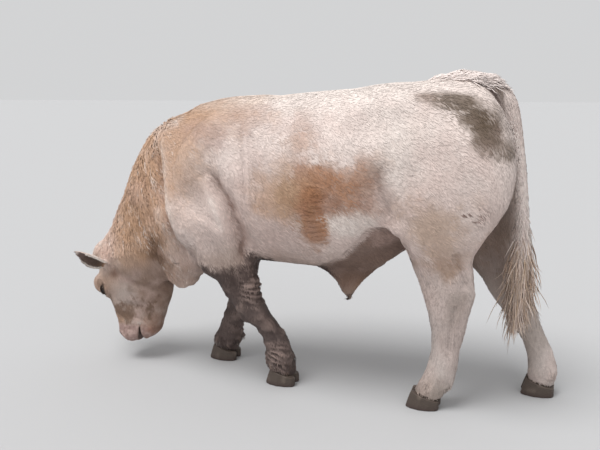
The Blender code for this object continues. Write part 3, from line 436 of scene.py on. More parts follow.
# Hollows and swellings of both sides: centre, radii and height.
for centre, radii, rise in (
        ((0.395, -0.26, 1.27), (0.16, 0.16, 0.1), -0.024),
        ((0.56, -0.21, 1.35), (0.11, 0.1, 0.075), 0.014),
        ((0.47, -0.28, 0.8), (0.14, 0.12, 0.09), -0.012),
        ((-0.44, -0.22, 1.08), (0.07, 0.12, 0.22), 0.012),
        ((-0.3, -0.2, 1.18), (0.07, 0.1, 0.16), -0.012),
        ((0.7, -0.3, 0.98), (0.14, 0.1, 0.18), 0.007)):
    for place, in both_sides([centre]):
        height += rise * near_point(points, place, radii)
ribs = near_point(points, (0.18, 0.0, 1.0), (0.38, 0.6, 0.33))
height += 0.0022 * ribs * np.sin(x * 66.0 - z * 14.0) * (np.abs(y) > 0.12)
neck = near_point(points, (-0.74, 0.0, 0.82), (0.28, 0.4, 0.42))
height += 0.0035 * neck * mottle(points * np.array([1.8, 1.0, 0.45]), 0.045, 3)
height += 0.0022 * (1.0 - in_head) * mottle(points, 0.11, 1) + 0.001 * mottle(points, 0.035, 2)

# Clotted coat: level ridges on the flank, and lumps of dried mud on the forelegs.
RIDGED, RIDGED_REACH = (0.215, -0.33, 0.89), (0.08, 0.2, 0.2)
RIDGE_STEP, BAND_STEP = 0.0205, 0.027
CLOTS = (((-0.13, -0.2, 0.5), (0.085, 0.14, 0.13)), ((-0.03, -0.17, 0.15), (0.09, 0.14, 0.1)),
         ((-0.38, 0.2, 0.18), (0.1, 0.14, 0.12)))


def mud_lumps(points):
    """How thick the lumps of mud stand, how far inside a clotted place, and the bands across it."""
    lumps = mottle(points, 0.03, 7) + 0.35 * mottle(points, 0.014, 8)
    level = points[:, 2] + 0.35 * points[:, 0] + 0.012 * mottle(points, 0.03, 28)
    return lumps, np.sqrt(near_any(points, CLOTS)), np.sin(level * TURN / BAND_STEP)


flank = near_point(points, RIDGED, (0.066, 0.2, 0.19))
wander = 0.01 * mottle(points, 0.035, 5) + 0.016 * mottle(points, 0.09, 31)
rise = 0.0072 * np.sqrt(flank) * np.clip(0.75 + 0.9 * mottle(points, 0.045, 32), 0.15, 1.3)
height += rise * np.sin((z + wander) * TURN / RIDGE_STEP)
muddy = (x < 0.15) * fading(z + 0.05 * mottle(points, 0.06, 6), 0.5, 0.6)
muddy = muddy * (x > -0.62) * (1.0 - in_head)
lumps, clots, bands = mud_lumps(points)
height += 0.008 * muddy * np.clip(lumps, -0.2, 1.0)
height += 0.0085 * clots * muddy * np.maximum(bands + 0.4 * mottle(points, 0.015, 29), -0.2)

depth = 0.0045 - 0.0035 * in_head - 0.002 * on_leg
points = points + normals * (height - depth)[:, None]
nape = near_point(points, (-1.0, 0.01, 0.63), (0.16, 0.18, 0.15))
points = relaxed(points, edges, 0.9 * np.minimum(2.0 * nape, 1.0), 70) + normals * (0.01 * nape)[:, None]


# The head: lids that hug the eyeballs, nostrils, lips, and the creases of the cheeks and brow. All
# are modelled in the same skin, in the head's own frame.
face = on_head(points)
face_normals = normals @ HEAD_TURN
EYE_RADIUS = 0.021
LID_OPENING = (0.022, 0.0068)
LID_THICKNESS = 0.0045
for side in (-1.0, 1.0):
    along, out, up = face[:, 0] - EYE[0], side * face[:, 1], face[:, 2] - EYE[2]
    near = np.flatnonzero((np.hypot(along, up) < 0.075) & (out > 0.05))
    a, o, u = along[near], out[near], up[near] + 0.1 * along[near]
    ring = np.hypot(a / LID_OPENING[0], u / LID_OPENING[1])
    from_centre = np.hypot(a, u)
    ball = EYE[1] + np.sqrt(np.maximum(EYE_RADIUS ** 2 - from_centre ** 2, 0.0))
    over_ball = (EYE_RADIUS + LID_THICKNESS) ** 2 - from_centre ** 2
    lid = EYE[1] + np.sqrt(np.maximum(over_ball, 0.0)) - 0.001
    hug = fading(ring, 1.4, 3.1)
    shape = o + (np.maximum(lid, o - 0.012) - o) * hug
    shape = np.where(ring < 1.0, ball - 0.005, shape)
    upper = (u > 0) * 1.0
    shape -= 0.0045 * np.exp(-((ring - 2.6) / 0.35) ** 2) * (0.4 + 0.6 * upper)
    shape += 0.002 * np.exp(-((ring - 1.35) / 0.3) ** 2)
    shape -= 0.0015 * np.exp(-((ring - 4.0) / 0.4) ** 2)
    shape = np.where((ring > 1.15) & (from_centre < EYE_RADIUS), np.maximum(shape, ball + 0.0025), shape)
    face[near, 1] = side * shape

    down, out, rise = NOSTRIL
    a, o, u = face[:, 0] - down, side * face[:, 1] - out, face[:, 2] - rise
    turned_a = a * math.cos(0.75) + o * math.sin(0.75)
    turned_o = -a * math.sin(0.75) + o * math.cos(0.75)
    comma = np.sqrt((turned_a / 0.02) ** 2 + ((u - 14.0 * turned_a ** 2) / 0.0085) ** 2
                    + (turned_o / 0.03) ** 2)
    pit = fading(comma, 0.45, 1.25)
    rim = np.exp(-((comma - 1.7) / 0.4) ** 2)
    inward = np.array([-0.55, -0.75 * side, -0.35])
    face += inward * (0.021 * pit)[:, None] + face_normals * (0.0035 * rim)[:, None]


# The lips part from a corner low on the cheek and meet under the nose.
def mouth_line(down):
    """How high the mouth lies at places down the face."""
    return np.interp(down, [0.355, 0.38, 0.468, 0.52], [-0.1, -0.092, -0.071, -0.06])


gap = face[:, 2] - mouth_line(face[:, 0])
forward = smooth_step(face[:, 0], 0.395, 0.425)
parted = 0.0026 + 0.0105 * smooth_step(face[:, 0], 0.425, 0.49)
lips = 0.004 * np.exp(-((np.abs(gap) - parted - 0.01) / 0.008) ** 2)
lips -= (0.007 + 1.1 * parted) * np.exp(-(gap / parted) ** 4)
face += face_normals * (lips * forward)[:, None]
# A crease where the bare muzzle begins, wrinkles on it, the edge of the cheek, and the face's ridge.
muzzle = smooth_step(face[:, 0], 0.388, 0.428)
creases = -0.0016 * np.exp(-((face[:, 0] - 0.383 + 0.35 * (face[:, 2] + 0.03)) / 0.01) ** 2)
creases += 0.0006 * muzzle * mottle(face, 0.006, 11)
for path, reach, rise in (
        ([(0.285, 0.1, -0.06), (0.3, 0.085, -0.13), (0.27, 0.06, -0.2)], 0.03, -0.0055),
        ([(0.23, 0.105, 0.0), (0.33, 0.08, -0.012)], 0.028, 0.005),
        ([(0.215, 0.11, 0.05), (0.245, 0.1, 0.03)], 0.016, -0.003),
        ([(0.13, 0.1, 0.07), (0.15, 0.085, 0.085)], 0.014, -0.003),
        ([(0.352, 0.088, -0.066), (0.385, 0.083, -0.11)], 0.014, -0.0025)):
    for line in both_sides(path):
        creases += rise * groove(face, line, reach)
face += face_normals * (creases * in_head)[:, None]
moved = face @ HEAD_TURN.T + HEAD_PLACE
points = points + (moved - points) * (in_head > 0.5)[:, None]
set_points(skin.data, points)

thin = skin.vertex_groups.new(name="thin")
SKIN_TRIANGLES = 186000.0
weights = 1.0 - 0.85 * in_head
for level in range(11):
    chosen = np.flatnonzero(np.round(weights * 10) == level)
    if len(chosen):
        thin.add(chosen.tolist(), level / 10.0, "REPLACE")
fewer = skin.modifiers.new("Fewer", "DECIMATE")
fewer.ratio = SKIN_TRIANGLES / (2.0 * len(skin.data.polygons))
fewer.vertex_group = "thin"
fewer.vertex_group_factor = 1.0
skin = applied(skin)
skin.vertex_groups.clear()
skin.data.shade_smooth()
for name in FLESH:
    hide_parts(name)
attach(skin, "root")


# The markings of the coat: cream on the trunk, tan to golden on the neck and shoulder, a red-brown
# clotted patch on the flank, mud on the forelegs and belly, and dung on the rump. Painted shade
# darkens the folds, hollows, clefts and underside, and painted highlights run along ridges and the
# back. The same colours are given to the skin and to every tuft that grows from it.
CREAM = (0.75, 0.64, 0.59)
ROSY = (0.56, 0.405, 0.36)
PALE = (0.85, 0.77, 0.71)
TAN = (0.545, 0.35, 0.24)
GOLD = (0.47, 0.275, 0.16)
PATCH = (0.38, 0.183, 0.095)
FACE = (0.44, 0.32, 0.265)
MUZZLE = (0.29, 0.19, 0.172)
SOIL = (0.14, 0.095, 0.07)
MUD = (0.062, 0.04, 0.036)
DRY_MUD = (0.3, 0.22, 0.19)
DUNG = (0.125, 0.088, 0.06)
GREY = (0.33, 0.265, 0.21)
CREASE_SHADE = (0.225, 0.125, 0.095)


def blot(points, centre, radii, soft=0.35, ragged=0.25, size=0.05, seed=21):
    """An uneven mark: 1 inside an ellipsoid and 0 outside, over a soft and ragged edge."""
    distance = np.sqrt((((points - np.array(centre)) / np.array(radii)) ** 2).sum(1))
    distance = distance + ragged * (mottle(points, size, seed) + 0.5 * mottle(points, size / 3, seed + 1))
    return fading(distance, 1.0 - soft, 1.0 + soft)


# Marks in the order they lie on one another: colour, strength, centre, radii, softness, raggedness.
MARKS = (
    (ROSY, 0.45, (0.25, 0.0, 0.7), (0.7, 0.6, 0.3), 0.8, 0.3),
    (ROSY, 0.4, (-0.1, -0.3, 0.85), (0.25, 0.3, 0.3), 0.6, 0.3),
    (ROSY, 0.35, (0.64, 0.0, 0.95), (0.3, 0.5, 0.32), 0.6, 0.3),
    (TAN, 0.8, (-0.33, 0.0, 1.31), (0.28, 0.3, 0.17), 0.5, 0.4),
    (TAN, 0.7, (-0.48, 0.0, 1.08), (0.16, 0.5, 0.3), 0.45, 0.4),
    ((0.68, 0.55, 0.5), 0.75, (-0.31, -0.3, 0.83), (0.17, 0.25, 0.22), 0.5, 0.4),
    ((0.4, 0.31, 0.27), 0.45, (-0.34, -0.3, 0.96), (0.1, 0.25, 0.06), 0.7, 0.6),
    (GOLD, 0.45, (-0.5, 0.0, 1.15), (0.17, 0.3, 0.2), 0.6, 0.4),
    (TAN, 0.9, (-0.8, 0.0, 0.82), (0.3, 0.4, 0.4), 0.3, 0.2),
    (GOLD, 0.65, (-0.74, 0.0, 0.9), (0.2, 0.3, 0.3), 0.5, 0.6),
    ((0.5, 0.35, 0.285), 0.8, (-0.57, 0.0, 0.51), (0.13, 0.2, 0.13), 0.5, 0.4),
    # Painted shade in the hollow behind the jaw.
    ((0.17, 0.098, 0.064), 0.85, (-0.655, -0.08, 0.64), (0.055, 0.2, 0.13), 0.6, 0.4),
    ((0.64, 0.47, 0.4), 0.8, (-1.01, 0.0, 0.64), (0.11, 0.25, 0.12), 0.6, 0.3),
    (GOLD, 0.6, (0.05, -0.3, 0.955), (0.12, 0.2, 0.105), 0.5, 0.5),
    (TAN, 0.5, (0.15, -0.25, 1.215), (0.07, 0.2, 0.05), 0.6, 0.5),
    ((0.44, 0.285, 0.19), 0.75, (0.115, -0.3, 1.0), (0.115, 0.2, 0.12), 0.5, 0.6),
    (TAN, 0.35, (0.04, 0.3, 0.9), (0.18, 0.2, 0.15), 0.6, 0.5),
    (PATCH, 0.72, (0.235, -0.33, 1.02), (0.12, 0.2, 0.115), 0.45, 0.6),
    (PATCH, 0.76, (0.385, -0.33, 1.045), (0.12, 0.2, 0.11), 0.45, 0.6),
    (PATCH, 0.94, (0.206, -0.33, 0.885), (0.06, 0.2, 0.14), 0.25, 0.3),
    ((0.27, 0.125, 0.07), 0.6, (0.26, -0.33, 0.93), (0.15, 0.2, 0.05), 0.6, 0.6),
    ((0.25, 0.11, 0.06), 0.4, (0.44, -0.33, 0.99), (0.04, 0.2, 0.1), 0.7, 0.7),
    (PATCH, 0.4, (0.3, 0.33, 0.93), (0.12, 0.2, 0.1), 0.5, 0.4),
    (PALE, 0.6, (0.385, -0.3, 0.845), (0.1, 0.12, 0.06), 0.4, 0.5),
    (PALE, 0.55, (0.56, -0.3, 1.15), (0.11, 0.2, 0.2), 0.7, 0.4),
    # A painted highlight along the top of the back.
    (PALE, 0.5, (0.2, 0.0, 1.42), (0.6, 0.25, 0.12), 0.6, 0.3),
    ((0.47, 0.325, 0.225), 0.6, (0.73, -0.29, 0.82), (0.13, 0.2, 0.13), 0.6, 0.8),
    ((0.36, 0.215, 0.13), 0.65, (0.765, -0.29, 0.68), (0.07, 0.2, 0.06), 0.6, 0.7),
    (TAN, 0.6, (0.9, 0.29, 0.75), (0.12, 0.2, 0.18), 0.5, 0.35),
    (DUNG, 0.92, (0.79, -0.225, 1.362), (0.1, 0.12, 0.03), 0.4, 0.45),
    (DUNG, 0.95, (0.87, -0.24, 1.31), (0.08, 0.12, 0.052), 0.4, 0.4),
    (DUNG, 0.95, (0.925, -0.23, 1.24), (0.06, 0.12, 0.07), 0.45, 0.45),
    (DUNG, 0.8, (0.985, -0.205, 1.165), (0.034, 0.1, 0.045), 0.5, 0.6),
    (DUNG, 0.8, (0.655, -0.2, 1.378), (0.044, 0.1, 0.018), 0.5, 0.5),
    (DUNG, 0.55, (0.93, 0.22, 1.15), (0.06, 0.1, 0.11), 0.6, 0.7),
    # Painted shade in the clefts beside the tail's root, on both sides.
    (SOIL, 0.9, (0.93, -0.062, 1.08), (0.085, 0.05, 0.33), 0.45, 0.3),
    (SOIL, 0.55, (0.93, 0.075, 1.0), (0.08, 0.07, 0.36), 0.6, 0.3),
    # The next three darken the belly and the chest behind the elbow with dirt and painted shade of the
    # underside.
    ((0.34, 0.24, 0.19), 0.55, (0.15, 0.0, 0.56), (0.5, 0.6, 0.13), 0.6, 0.3),
    ((0.33, 0.24, 0.19), 0.45, (-0.26, -0.25, 0.64), (0.14, 0.2, 0.06), 0.6, 0.5),
    (SOIL, 0.85, (0.05, 0.0, 0.53), (0.4, 0.17, 0.11), 0.5, 0.3),
    # Painted shade between the hind legs, on the inner side of the far thigh.
    (SOIL, 0.7, (0.86, 0.15, 0.8), (0.25, 0.13, 0.3), 0.6, 0.3),
    (GREY, 0.7, (0.812, -0.23, 0.492), (0.05, 0.07, 0.062), 0.5, 0.6),
    ((0.4, 0.35, 0.325), 0.6, (0.76, -0.18, 0.3), (0.14, 0.2, 0.3), 0.5, 0.4),
    ((0.4, 0.35, 0.325), 0.6, (1.08, 0.18, 0.3), (0.2, 0.2, 0.33), 0.5, 0.4),
    (GREY, 0.6, (1.06, 0.2, 0.38), (0.11, 0.12, 0.24), 0.6, 0.4),
    (GREY, 0.55, (0.7, -0.16, 0.08), (0.12, 0.12, 0.06), 0.6, 0.6),
    ((0.4, 0.275, 0.24), 0.5, (-0.33, -0.22, 1.225), (0.15, 0.2, 0.055), 0.6, 0.8),
    ((0.44, 0.29, 0.23), 0.45, (-0.12, -0.2, 1.29), (0.13, 0.2, 0.045), 0.6, 0.8),
    ((0.43, 0.29, 0.23), 0.45, (0.11, -0.24, 1.235), (0.05, 0.2, 0.07), 0.6, 0.8),
    ((0.41, 0.255, 0.15), 0.4, (0.1, -0.32, 0.96), (0.075, 0.2, 0.09), 0.5, 0.8),
)


def blended(colour, mark, share):
    """Colours drawn towards a mark's colour, each by its own share."""
    return colour + (np.array(mark) - colour) * share[:, None]


def rows(values, count):
    """The same three numbers in every row."""
    return np.tile(np.array(values), (count, 1))


EARS = ((Vector((-0.958, -0.062, 0.51)), Vector((-0.142, -0.15, 0.104)), Vector((0.36, -0.7, -0.42))),
        (Vector((-0.987, 0.102, 0.495)), Vector((-0.23, -0.004, -0.014)), Vector((-0.2, 0.55, -0.75))))
EAR_LENGTH = 0.225


def on_ear(points, number):
    """Share of the ear's length, place across it, and how far inside the wall of its cup."""
    root, reach, opening = (Vector(part) for part in EARS[number])
    along = reach.normalized()
    opening = (opening - along * opening.dot(along)).normalized()
    across = along.cross(opening)
    away = points - np.array(root)
    share = away @ np.array(along) / EAR_LENGTH
    clipped = np.clip(share, 0.0, 1.0)
    side = away @ np.array(across)
    swell = 0.42 + 0.62 * np.sin(math.pi * np.minimum(clipped, 0.62) / 1.24) ** 1.4
    point = np.clip((1.0 - clipped) / 0.5, 0.0, 1.0) ** 0.62
    width = np.maximum(0.04 * swell * point, 0.004)
    curl = np.maximum((1.25 - 0.75 * clipped) * 1.1, 0.6)
    sweep = np.arcsin(np.clip(side * curl / width, -1.0, 1.0))
    wall = 0.012 * np.sin(math.pi * clipped) + width * (1.0 - np.cos(sweep)) / curl
    inside = away @ np.array(opening) - wall
    return share, np.abs(side) / (width / curl), inside


def ear_mask(points, number):
    share, across, inside = on_ear(points, number)
    return (share > 0.24) & (share < 1.08) & (across < 1.6) & (inside > -0.03) & (inside < 0.05)


def fore_leg(points):
    """1 on the forelegs and 0 elsewhere, with the hanging skin of the brisket left out."""
    x, y, z = points.T
    near = (y < -0.02) & (x > -0.36 - (z - 0.3) * 0.25) & (x < 0.2)
    far = (y > 0.02) & (x > -0.6) & (x < 0.1) & ((x > -0.465) | (z < 0.36))
    return (near | far) * (z < 0.7)


def coat_colour(points):
    """The coat's colour at any points on the skin."""
    x, y, z = points.T
    colour = rows(CREAM, len(points))
    for seed, (mark, strength, centre, radii, soft, ragged) in enumerate(MARKS, 40):
        colour = blended(colour, mark, strength * blot(points, centre, radii, soft, ragged, 0.07, seed))
    broken = 0.75 + 0.45 * mottle(points, 0.03, 27)
    # Painted shade along the bottoms of the deep folds.
    layers = [(CREASE_SHADE, np.clip(0.9 * strength * broken * groove(points, line, reach, True), 0, 1))
              for line, reach, strength in CREASE_SHADE_LINES]
    # A painted highlight along the crests of the high folds.
    layers += [(PALE, np.clip(0.65 * broken * groove(points, line, reach, True), 0, 1))
               for line, reach in RIDGE_HIGHLIGHT_LINES]
    tail = smooth_step(x - 0.12 * (1.3 - z), 0.955, 0.975) * (np.abs(y) < 0.06) * (z > 0.75)
    flecks = near_point(points, (0.85, -0.26, 0.905), (0.085, 0.1, 0.04)) > 0.1
    # Painted shade in the hollow under the flank's fold.
    layers += [((0.16, 0.096, 0.07), 0.86 * flank_hollow(points)),
               # Painted shade around the sheath.
               ((0.36, 0.225, 0.165), 0.8 * near_point(points, (0.34, 0.0, 0.485), (0.2, 0.14, 0.1))),
               # Painted shade in the clefts beside the tail.
               ((0.075, 0.045, 0.042), 0.9 * np.max([groove(points, line, 0.02) for line in CLEFT_SHADE_LINES], axis=0)),
               (CREAM, 0.9 * tail),
               ((0.11, 0.05, 0.035), 0.75 * flecks * smooth_step(mottle(points, 0.009, 24), 0.3, 0.6)),
               (ROSY, 0.28 * smooth_step(mottle(points, 0.16, 25) + 0.4 * mottle(points, 0.05, 26), 0, 0.8))]
    # Mud from the feet up, dark and wet below and dry where it clots.
    top = 0.595 + 0.05 * mottle(points, 0.05, 6) + 0.03 * mottle(points, 0.015, 9)
    top = top + 0.075 * np.exp(-((x + 0.115) / 0.06) ** 2) * (y < -0.05)
    mud = fading(z - top, -0.02, 0.02) * fore_leg(points)
    lumps, clots, bands = mud_lumps(points)
    crest = smooth_step(bands + 0.5 * mottle(points, 0.015, 29), 0.3, 0.95)
    layers += [(MUD, 0.93 * mud), (DRY_MUD, 0.6 * mud * smooth_step(lumps, 0.25, 0.9)),
               ((0.42, 0.31, 0.27), 0.85 * mud * crest * clots)]
    # The head: rosy brown, tan above the muzzle, with a pale line of hair over the bare nose.
    local = on_head(points)
    down, out, rise = local.T
    head = smooth_step(down, 0.02, 0.14) * (np.abs(out) < 0.2) * (rise > -0.32) * (x < -0.66) * (z < 0.66)
    edge = down - 0.383 + 0.35 * (rise + 0.03) - 0.012 * mottle(points, 0.02, 14)
    line = np.exp(-((edge + 0.012) / 0.01) ** 2) * smooth_step(mottle(points, 0.018, 17), -0.5, 0.4)
    bare = smooth_step(edge, -0.004, 0.022)
    parted = 0.0038 + 0.0105 * smooth_step(down, 0.425, 0.49)
    gap = (rise - mouth_line(down)) / parted
    soiled_lips = np.exp(-(gap / 2.2) ** 2) * smooth_step(down, 0.37, 0.415)
    shaded_lip_gap = np.exp(-(gap / 1.15) ** 4) * smooth_step(down, 0.4, 0.428)
    face_layers = [
        (FACE, np.full(len(points), 0.85)),
        (ROSY, 0.5 * smooth_step(mottle(points, 0.05, 13), -0.2, 0.6)),
        (TAN, 0.85 * blot(local, (0.34, 0.0, 0.02), (0.045, 0.12, 0.09), 0.5, 0.3)),
        (PALE, 0.55 * line),
        (MUZZLE, 0.85 * bare),
        (ROSY, 0.55 * bare * smooth_step(mottle(points, 0.014, 18), -0.2, 0.7)),
        (SOIL, 0.45 * bare * smooth_step(mottle(points, 0.01, 19), 0.2, 0.8)),
        ((0.33, 0.165, 0.105), 0.6 * blot(local, (0.425, 0.0, -0.15), (0.06, 0.12, 0.05), 0.6, 0.4, 0.02)),
        (SOIL, 0.5 * soiled_lips),
        # Painted shade in the gap between the parted lips.
        ((0.02, 0.012, 0.01), 0.92 * shaded_lip_gap),
        # Painted shade on the lower side of the bare muzzle.
        (SOIL, 0.55 * smooth_step(-rise, 0.1, 0.2) * bare),
        (TAN, 0.5 * blot(local, (0.11, 0.0, 0.04), (0.11, 0.2, 0.11), 0.6, 0.4))]
    for side in (-1.0, 1.0):
        away = local - np.array([EYE[0], side * EYE[1], EYE[2]])
        ring = np.hypot(away[:, 0] / 0.026, away[:, 2] / 0.0105)
        pit = blot(local, (NOSTRIL[0], side * NOSTRIL[1], NOSTRIL[2]), (0.02, 0.022, 0.011), 0.4, 0.1)
        tear = blot(away, (0.045, -0.01 * side, -0.02), (0.035, 0.05, 0.012), 0.8, 0.3, 0.02)
        # The dark rims of the lids, a tear stain, and painted shade inside the nostril.
        face_layers += [
            ((0.03, 0.02, 0.016), 0.95 * fading(ring, 0.9, 1.5) * (np.abs(away[:, 1]) < 0.05)),
            (SOIL, 0.4 * tear), ((0.02, 0.012, 0.01), 0.9 * pit)]
    for mark, strength, centre, radii, soft, ragged, size in (
            ((0.54, 0.45, 0.405), 0.8, (0.225, 0.0, -0.065), (0.085, 0.2, 0.07), 0.5, 0.3, 0.05),
            # Painted shade on the rear of the jaw.
            ((0.235, 0.15, 0.108), 0.85, (0.175, 0.0, -0.24), (0.19, 0.16, 0.115), 0.7, 0.5, 0.05),
            ((0.2, 0.125, 0.085), 0.85, (0.318, 0.0, -0.06), (0.042, 0.2, 0.085), 0.6, 1.3, 0.025)):
        face_layers.append((mark, strength * blot(local, centre, radii, soft, ragged, size)))
    layers += [(mark, share * head) for mark, share in face_layers]
    # Painted shade under the base of the near ear.
    layers.append(((0.17, 0.095, 0.065),
                   0.9 * near_point(points, (-0.938, -0.095, 0.482), (0.046, 0.05, 0.046))))
    for number in range(2):
        share, across, inside = on_ear(points, number)
        mask = ear_mask(points, number) * 1.0
        cup = mask * smooth_step(inside, 0.0, 0.003) * fading(across, 0.62, 0.8)
        cup = cup * fading(share, 0.86, 0.95)
        edge = mask * smooth_step(across, 0.62, 0.8) * smooth_step(inside, -0.006, 0.002)
        layers += [(CREAM, 0.5 * mask), ((0.085, 0.048, 0.04), 0.92 * cup),
                   (GOLD, 0.6 * cup * fading(share, 0.25, 0.42)), (PALE, 0.85 * edge)]
    for mark, share in layers:
        colour = blended(colour, mark, share)
    shade = 1.0 + 0.07 * mottle(points, 0.09, 15) + 0.08 * mottle(points, 0.022, 16)
    return np.clip(colour * shade[:, None], 0.0, 1.0)


def give_tone(mesh, colours):
    """Write a colour for every corner of a mesh."""
    layer = mesh.color_attributes.new("tone", "FLOAT_COLOR", "POINT")
    values = np.ones((len(mesh.vertices), 4), np.float32)
    values[:, :3] = colours
    layer.data.foreach_set("color", values.ravel())


def toned_finish(name, roughness, specular, grain, depth):
    """A finish that takes its colour from the mesh, with a fine grain that also dents it."""
    finish = bpy.data.materials.new(name)
    finish.use_nodes = True
    nodes, links = finish.node_tree.nodes, finish.node_tree.links
    shader = nodes["Principled BSDF"]
    shader.inputs["Roughness"].default_value = roughness
    shader.inputs["Specular IOR Level"].default_value = specular
    tone = nodes.new("ShaderNodeAttribute")
    tone.attribute_name = "tone"
    place = nodes.new("ShaderNodeTexCoord")
    noise = nodes.new("ShaderNodeTexNoise")
    noise.inputs["Scale"].default_value = grain
    noise.inputs["Detail"].default_value = 4.0
    links.new(place.outputs["Object"], noise.inputs["Vector"])
    spread = nodes.new("ShaderNodeMapRange")
    spread.inputs["To Min"].default_value = 0.72
    spread.inputs["To Max"].default_value = 1.25
    links.new(noise.outputs["Fac"], spread.inputs["Value"])
    mix = nodes.new("ShaderNodeVectorMath")
    mix.operation = "SCALE"
    links.new(tone.outputs["Color"], mix.inputs[0])
    links.new(spread.outputs["Result"], mix.inputs["Scale"])
    links.new(mix.outputs["Vector"], shader.inputs["Base Color"])
    bump = nodes.new("ShaderNodeBump")
    bump.inputs["Distance"].default_value = depth
    bump.inputs["Strength"].default_value = 0.8
    links.new(noise.outputs["Fac"], bump.inputs["Height"])
    links.new(bump.outputs["Normal"], shader.inputs["Normal"])
    return finish


skin_points, skin_normals = mesh_arrays(skin.data)
give_tone(skin.data, coat_colour(skin_points) * 0.97)
skin.data.materials.clear()
skin.data.materials.append(toned_finish("skin_and_down", 0.72, 0.25, 190.0, 0.0014))


# The short coat: flat tapered tufts, set all over the skin and lying back and down along the body,
# down the legs and down the face. They are longest on the trunk and smallest on face and feet.
skin.data.calc_loop_triangles()
corners = np.empty(len(skin.data.loop_triangles) * 3, np.int32)
skin.data.loop_triangles.foreach_get("vertices", corners)
corners = corners.reshape(-1, 3)
triangle = skin_points[corners]
centres = triangle.mean(1)
slants = np.cross(triangle[:, 1] - triangle[:, 0], triangle[:, 2] - triangle[:, 0])
areas = 0.5 * np.linalg.norm(slants, axis=1)


def unit(vectors):
    """Vectors made one long."""
    return vectors / np.maximum(np.linalg.norm(vectors, axis=1), 1e-9)[:, None]


def roots_on_skin(density, count, seed):
    """Places on the skin, spread by a density, with the skin's outward direction at each."""
    random = np.random.default_rng(seed)
    weight = np.cumsum(areas * density)
    steps = (np.arange(count) + random.random(count)) / count * weight[-1]
    picked = np.minimum(np.searchsorted(weight, steps), len(areas) - 1)
    first, second = random.random(count), random.random(count)
    flip = first + second > 1.0
    first, second = np.where(flip, 1 - first, first), np.where(flip, 1 - second, second)
    share = np.stack([1 - first - second, first, second], 1)[:, :, None]
    place = (triangle[picked] * share).sum(1)
    outward = unit((skin_normals[corners[picked]] * share).sum(1))
    return place, outward


def stray(points, size, seed, reach=(1.0, 1.0, 1.0)):
    """Soft random vectors, by which hair strays from the way it lies."""
    return np.stack([reach[axis] * mottle(points, size, seed + axis) for axis in range(3)], 1)


def coat_lie(points):
    """The way the coat lies: back and down the trunk, down the legs, along the neck, down the face."""
    x, y, z = points.T
    down, _, _ = on_head(points).T
    lie = rows((1.0, 0.0, -0.45), len(points))
    lie[:, 2] -= 0.35 * smooth_step(np.abs(y), 0.1, 0.3)
    for way, share in (((0.38, 0.0, -0.75), smooth_step(-x, 0.45, 0.65)),
                       ((0.1, 0.0, -1.0), fading(z, 0.5, 0.85)),
                       (HEAD_TURN[:, 0], smooth_step(down, -0.02, 0.12) * (x < -0.66) * (z < 0.66)),
                       ((0.25, 0.0, -1.0), smooth_step(x, 0.86, 0.98) * (z > 0.5)),
                       ((1.0, 0.0, -0.05), near_point(points, RIDGED, RIDGED_REACH))):
        lie = blended(lie, way, share)
    return unit(lie + stray(points, 0.15, 61, (0.2, 0.12, 0.22)))


def unwrapped(points):
    """Each place's own spot on an unwrap: trunk and neck round the spine, legs and head apart."""
    x, y, z = points.T
    down, out, rise = on_head(points).T
    around = np.arctan2(y, z - 0.95) / TURN + 0.5
    spot = np.stack([0.02 + 0.96 * (x + 1.4) / 2.7, 0.34 + 0.64 * around], 1)
    number = (x > 0.35) * 2 + (y > 0)
    middle = np.array([-0.2, -0.4, 0.8, 1.05])[number]
    turn = np.arctan2(y - np.where(y > 0, 0.17, -0.17), x - middle) / TURN + 0.5
    low = np.stack([0.02 + 0.18 * number + 0.16 * turn, 0.02 + 0.3 * z / 0.62], 1)
    turn = np.arctan2(out, rise + 0.06) / TURN + 0.5
    brow = np.stack([0.75 + 0.23 * turn, 0.02 + 0.3 * np.clip(down + 0.1, 0, 0.7) / 0.7], 1)
    spot = np.where((z < 0.62)[:, None], low, spot)
    return np.where(((x < -0.62) & (z < 0.66))[:, None], brow, spot)


skin_tree = BVHTree.FromPolygons(skin_points.tolist(), corners.tolist())


def laid_on_skin(places, height):
    """Places moved to a height over the skin below them, and the skin's outward direction there."""
    result, directions = np.empty_like(places), np.empty_like(places)
    for number, place in enumerate(places.tolist()):
        found, direction, _, _ = skin_tree.find_nearest(place)
        result[number], directions[number] = found, direction
    return result + directions * height[:, None], directions


hair_finish = toned_finish("coat_hair", 0.6, 0.22, 420.0, 0.0003)
# How much roots are darkened as painted shade and tips lightened as painted light, how far locks
# splay, how much their shades vary, and how far each reaches on the unwrap.
ROOT_PAINTED_SHADE, TIP_PAINTED_LIGHT = 0.95, 1.05
SPLAY, SHADE_SPREAD, UNWRAP_REACH = 0.16, 0.065, 0.0012


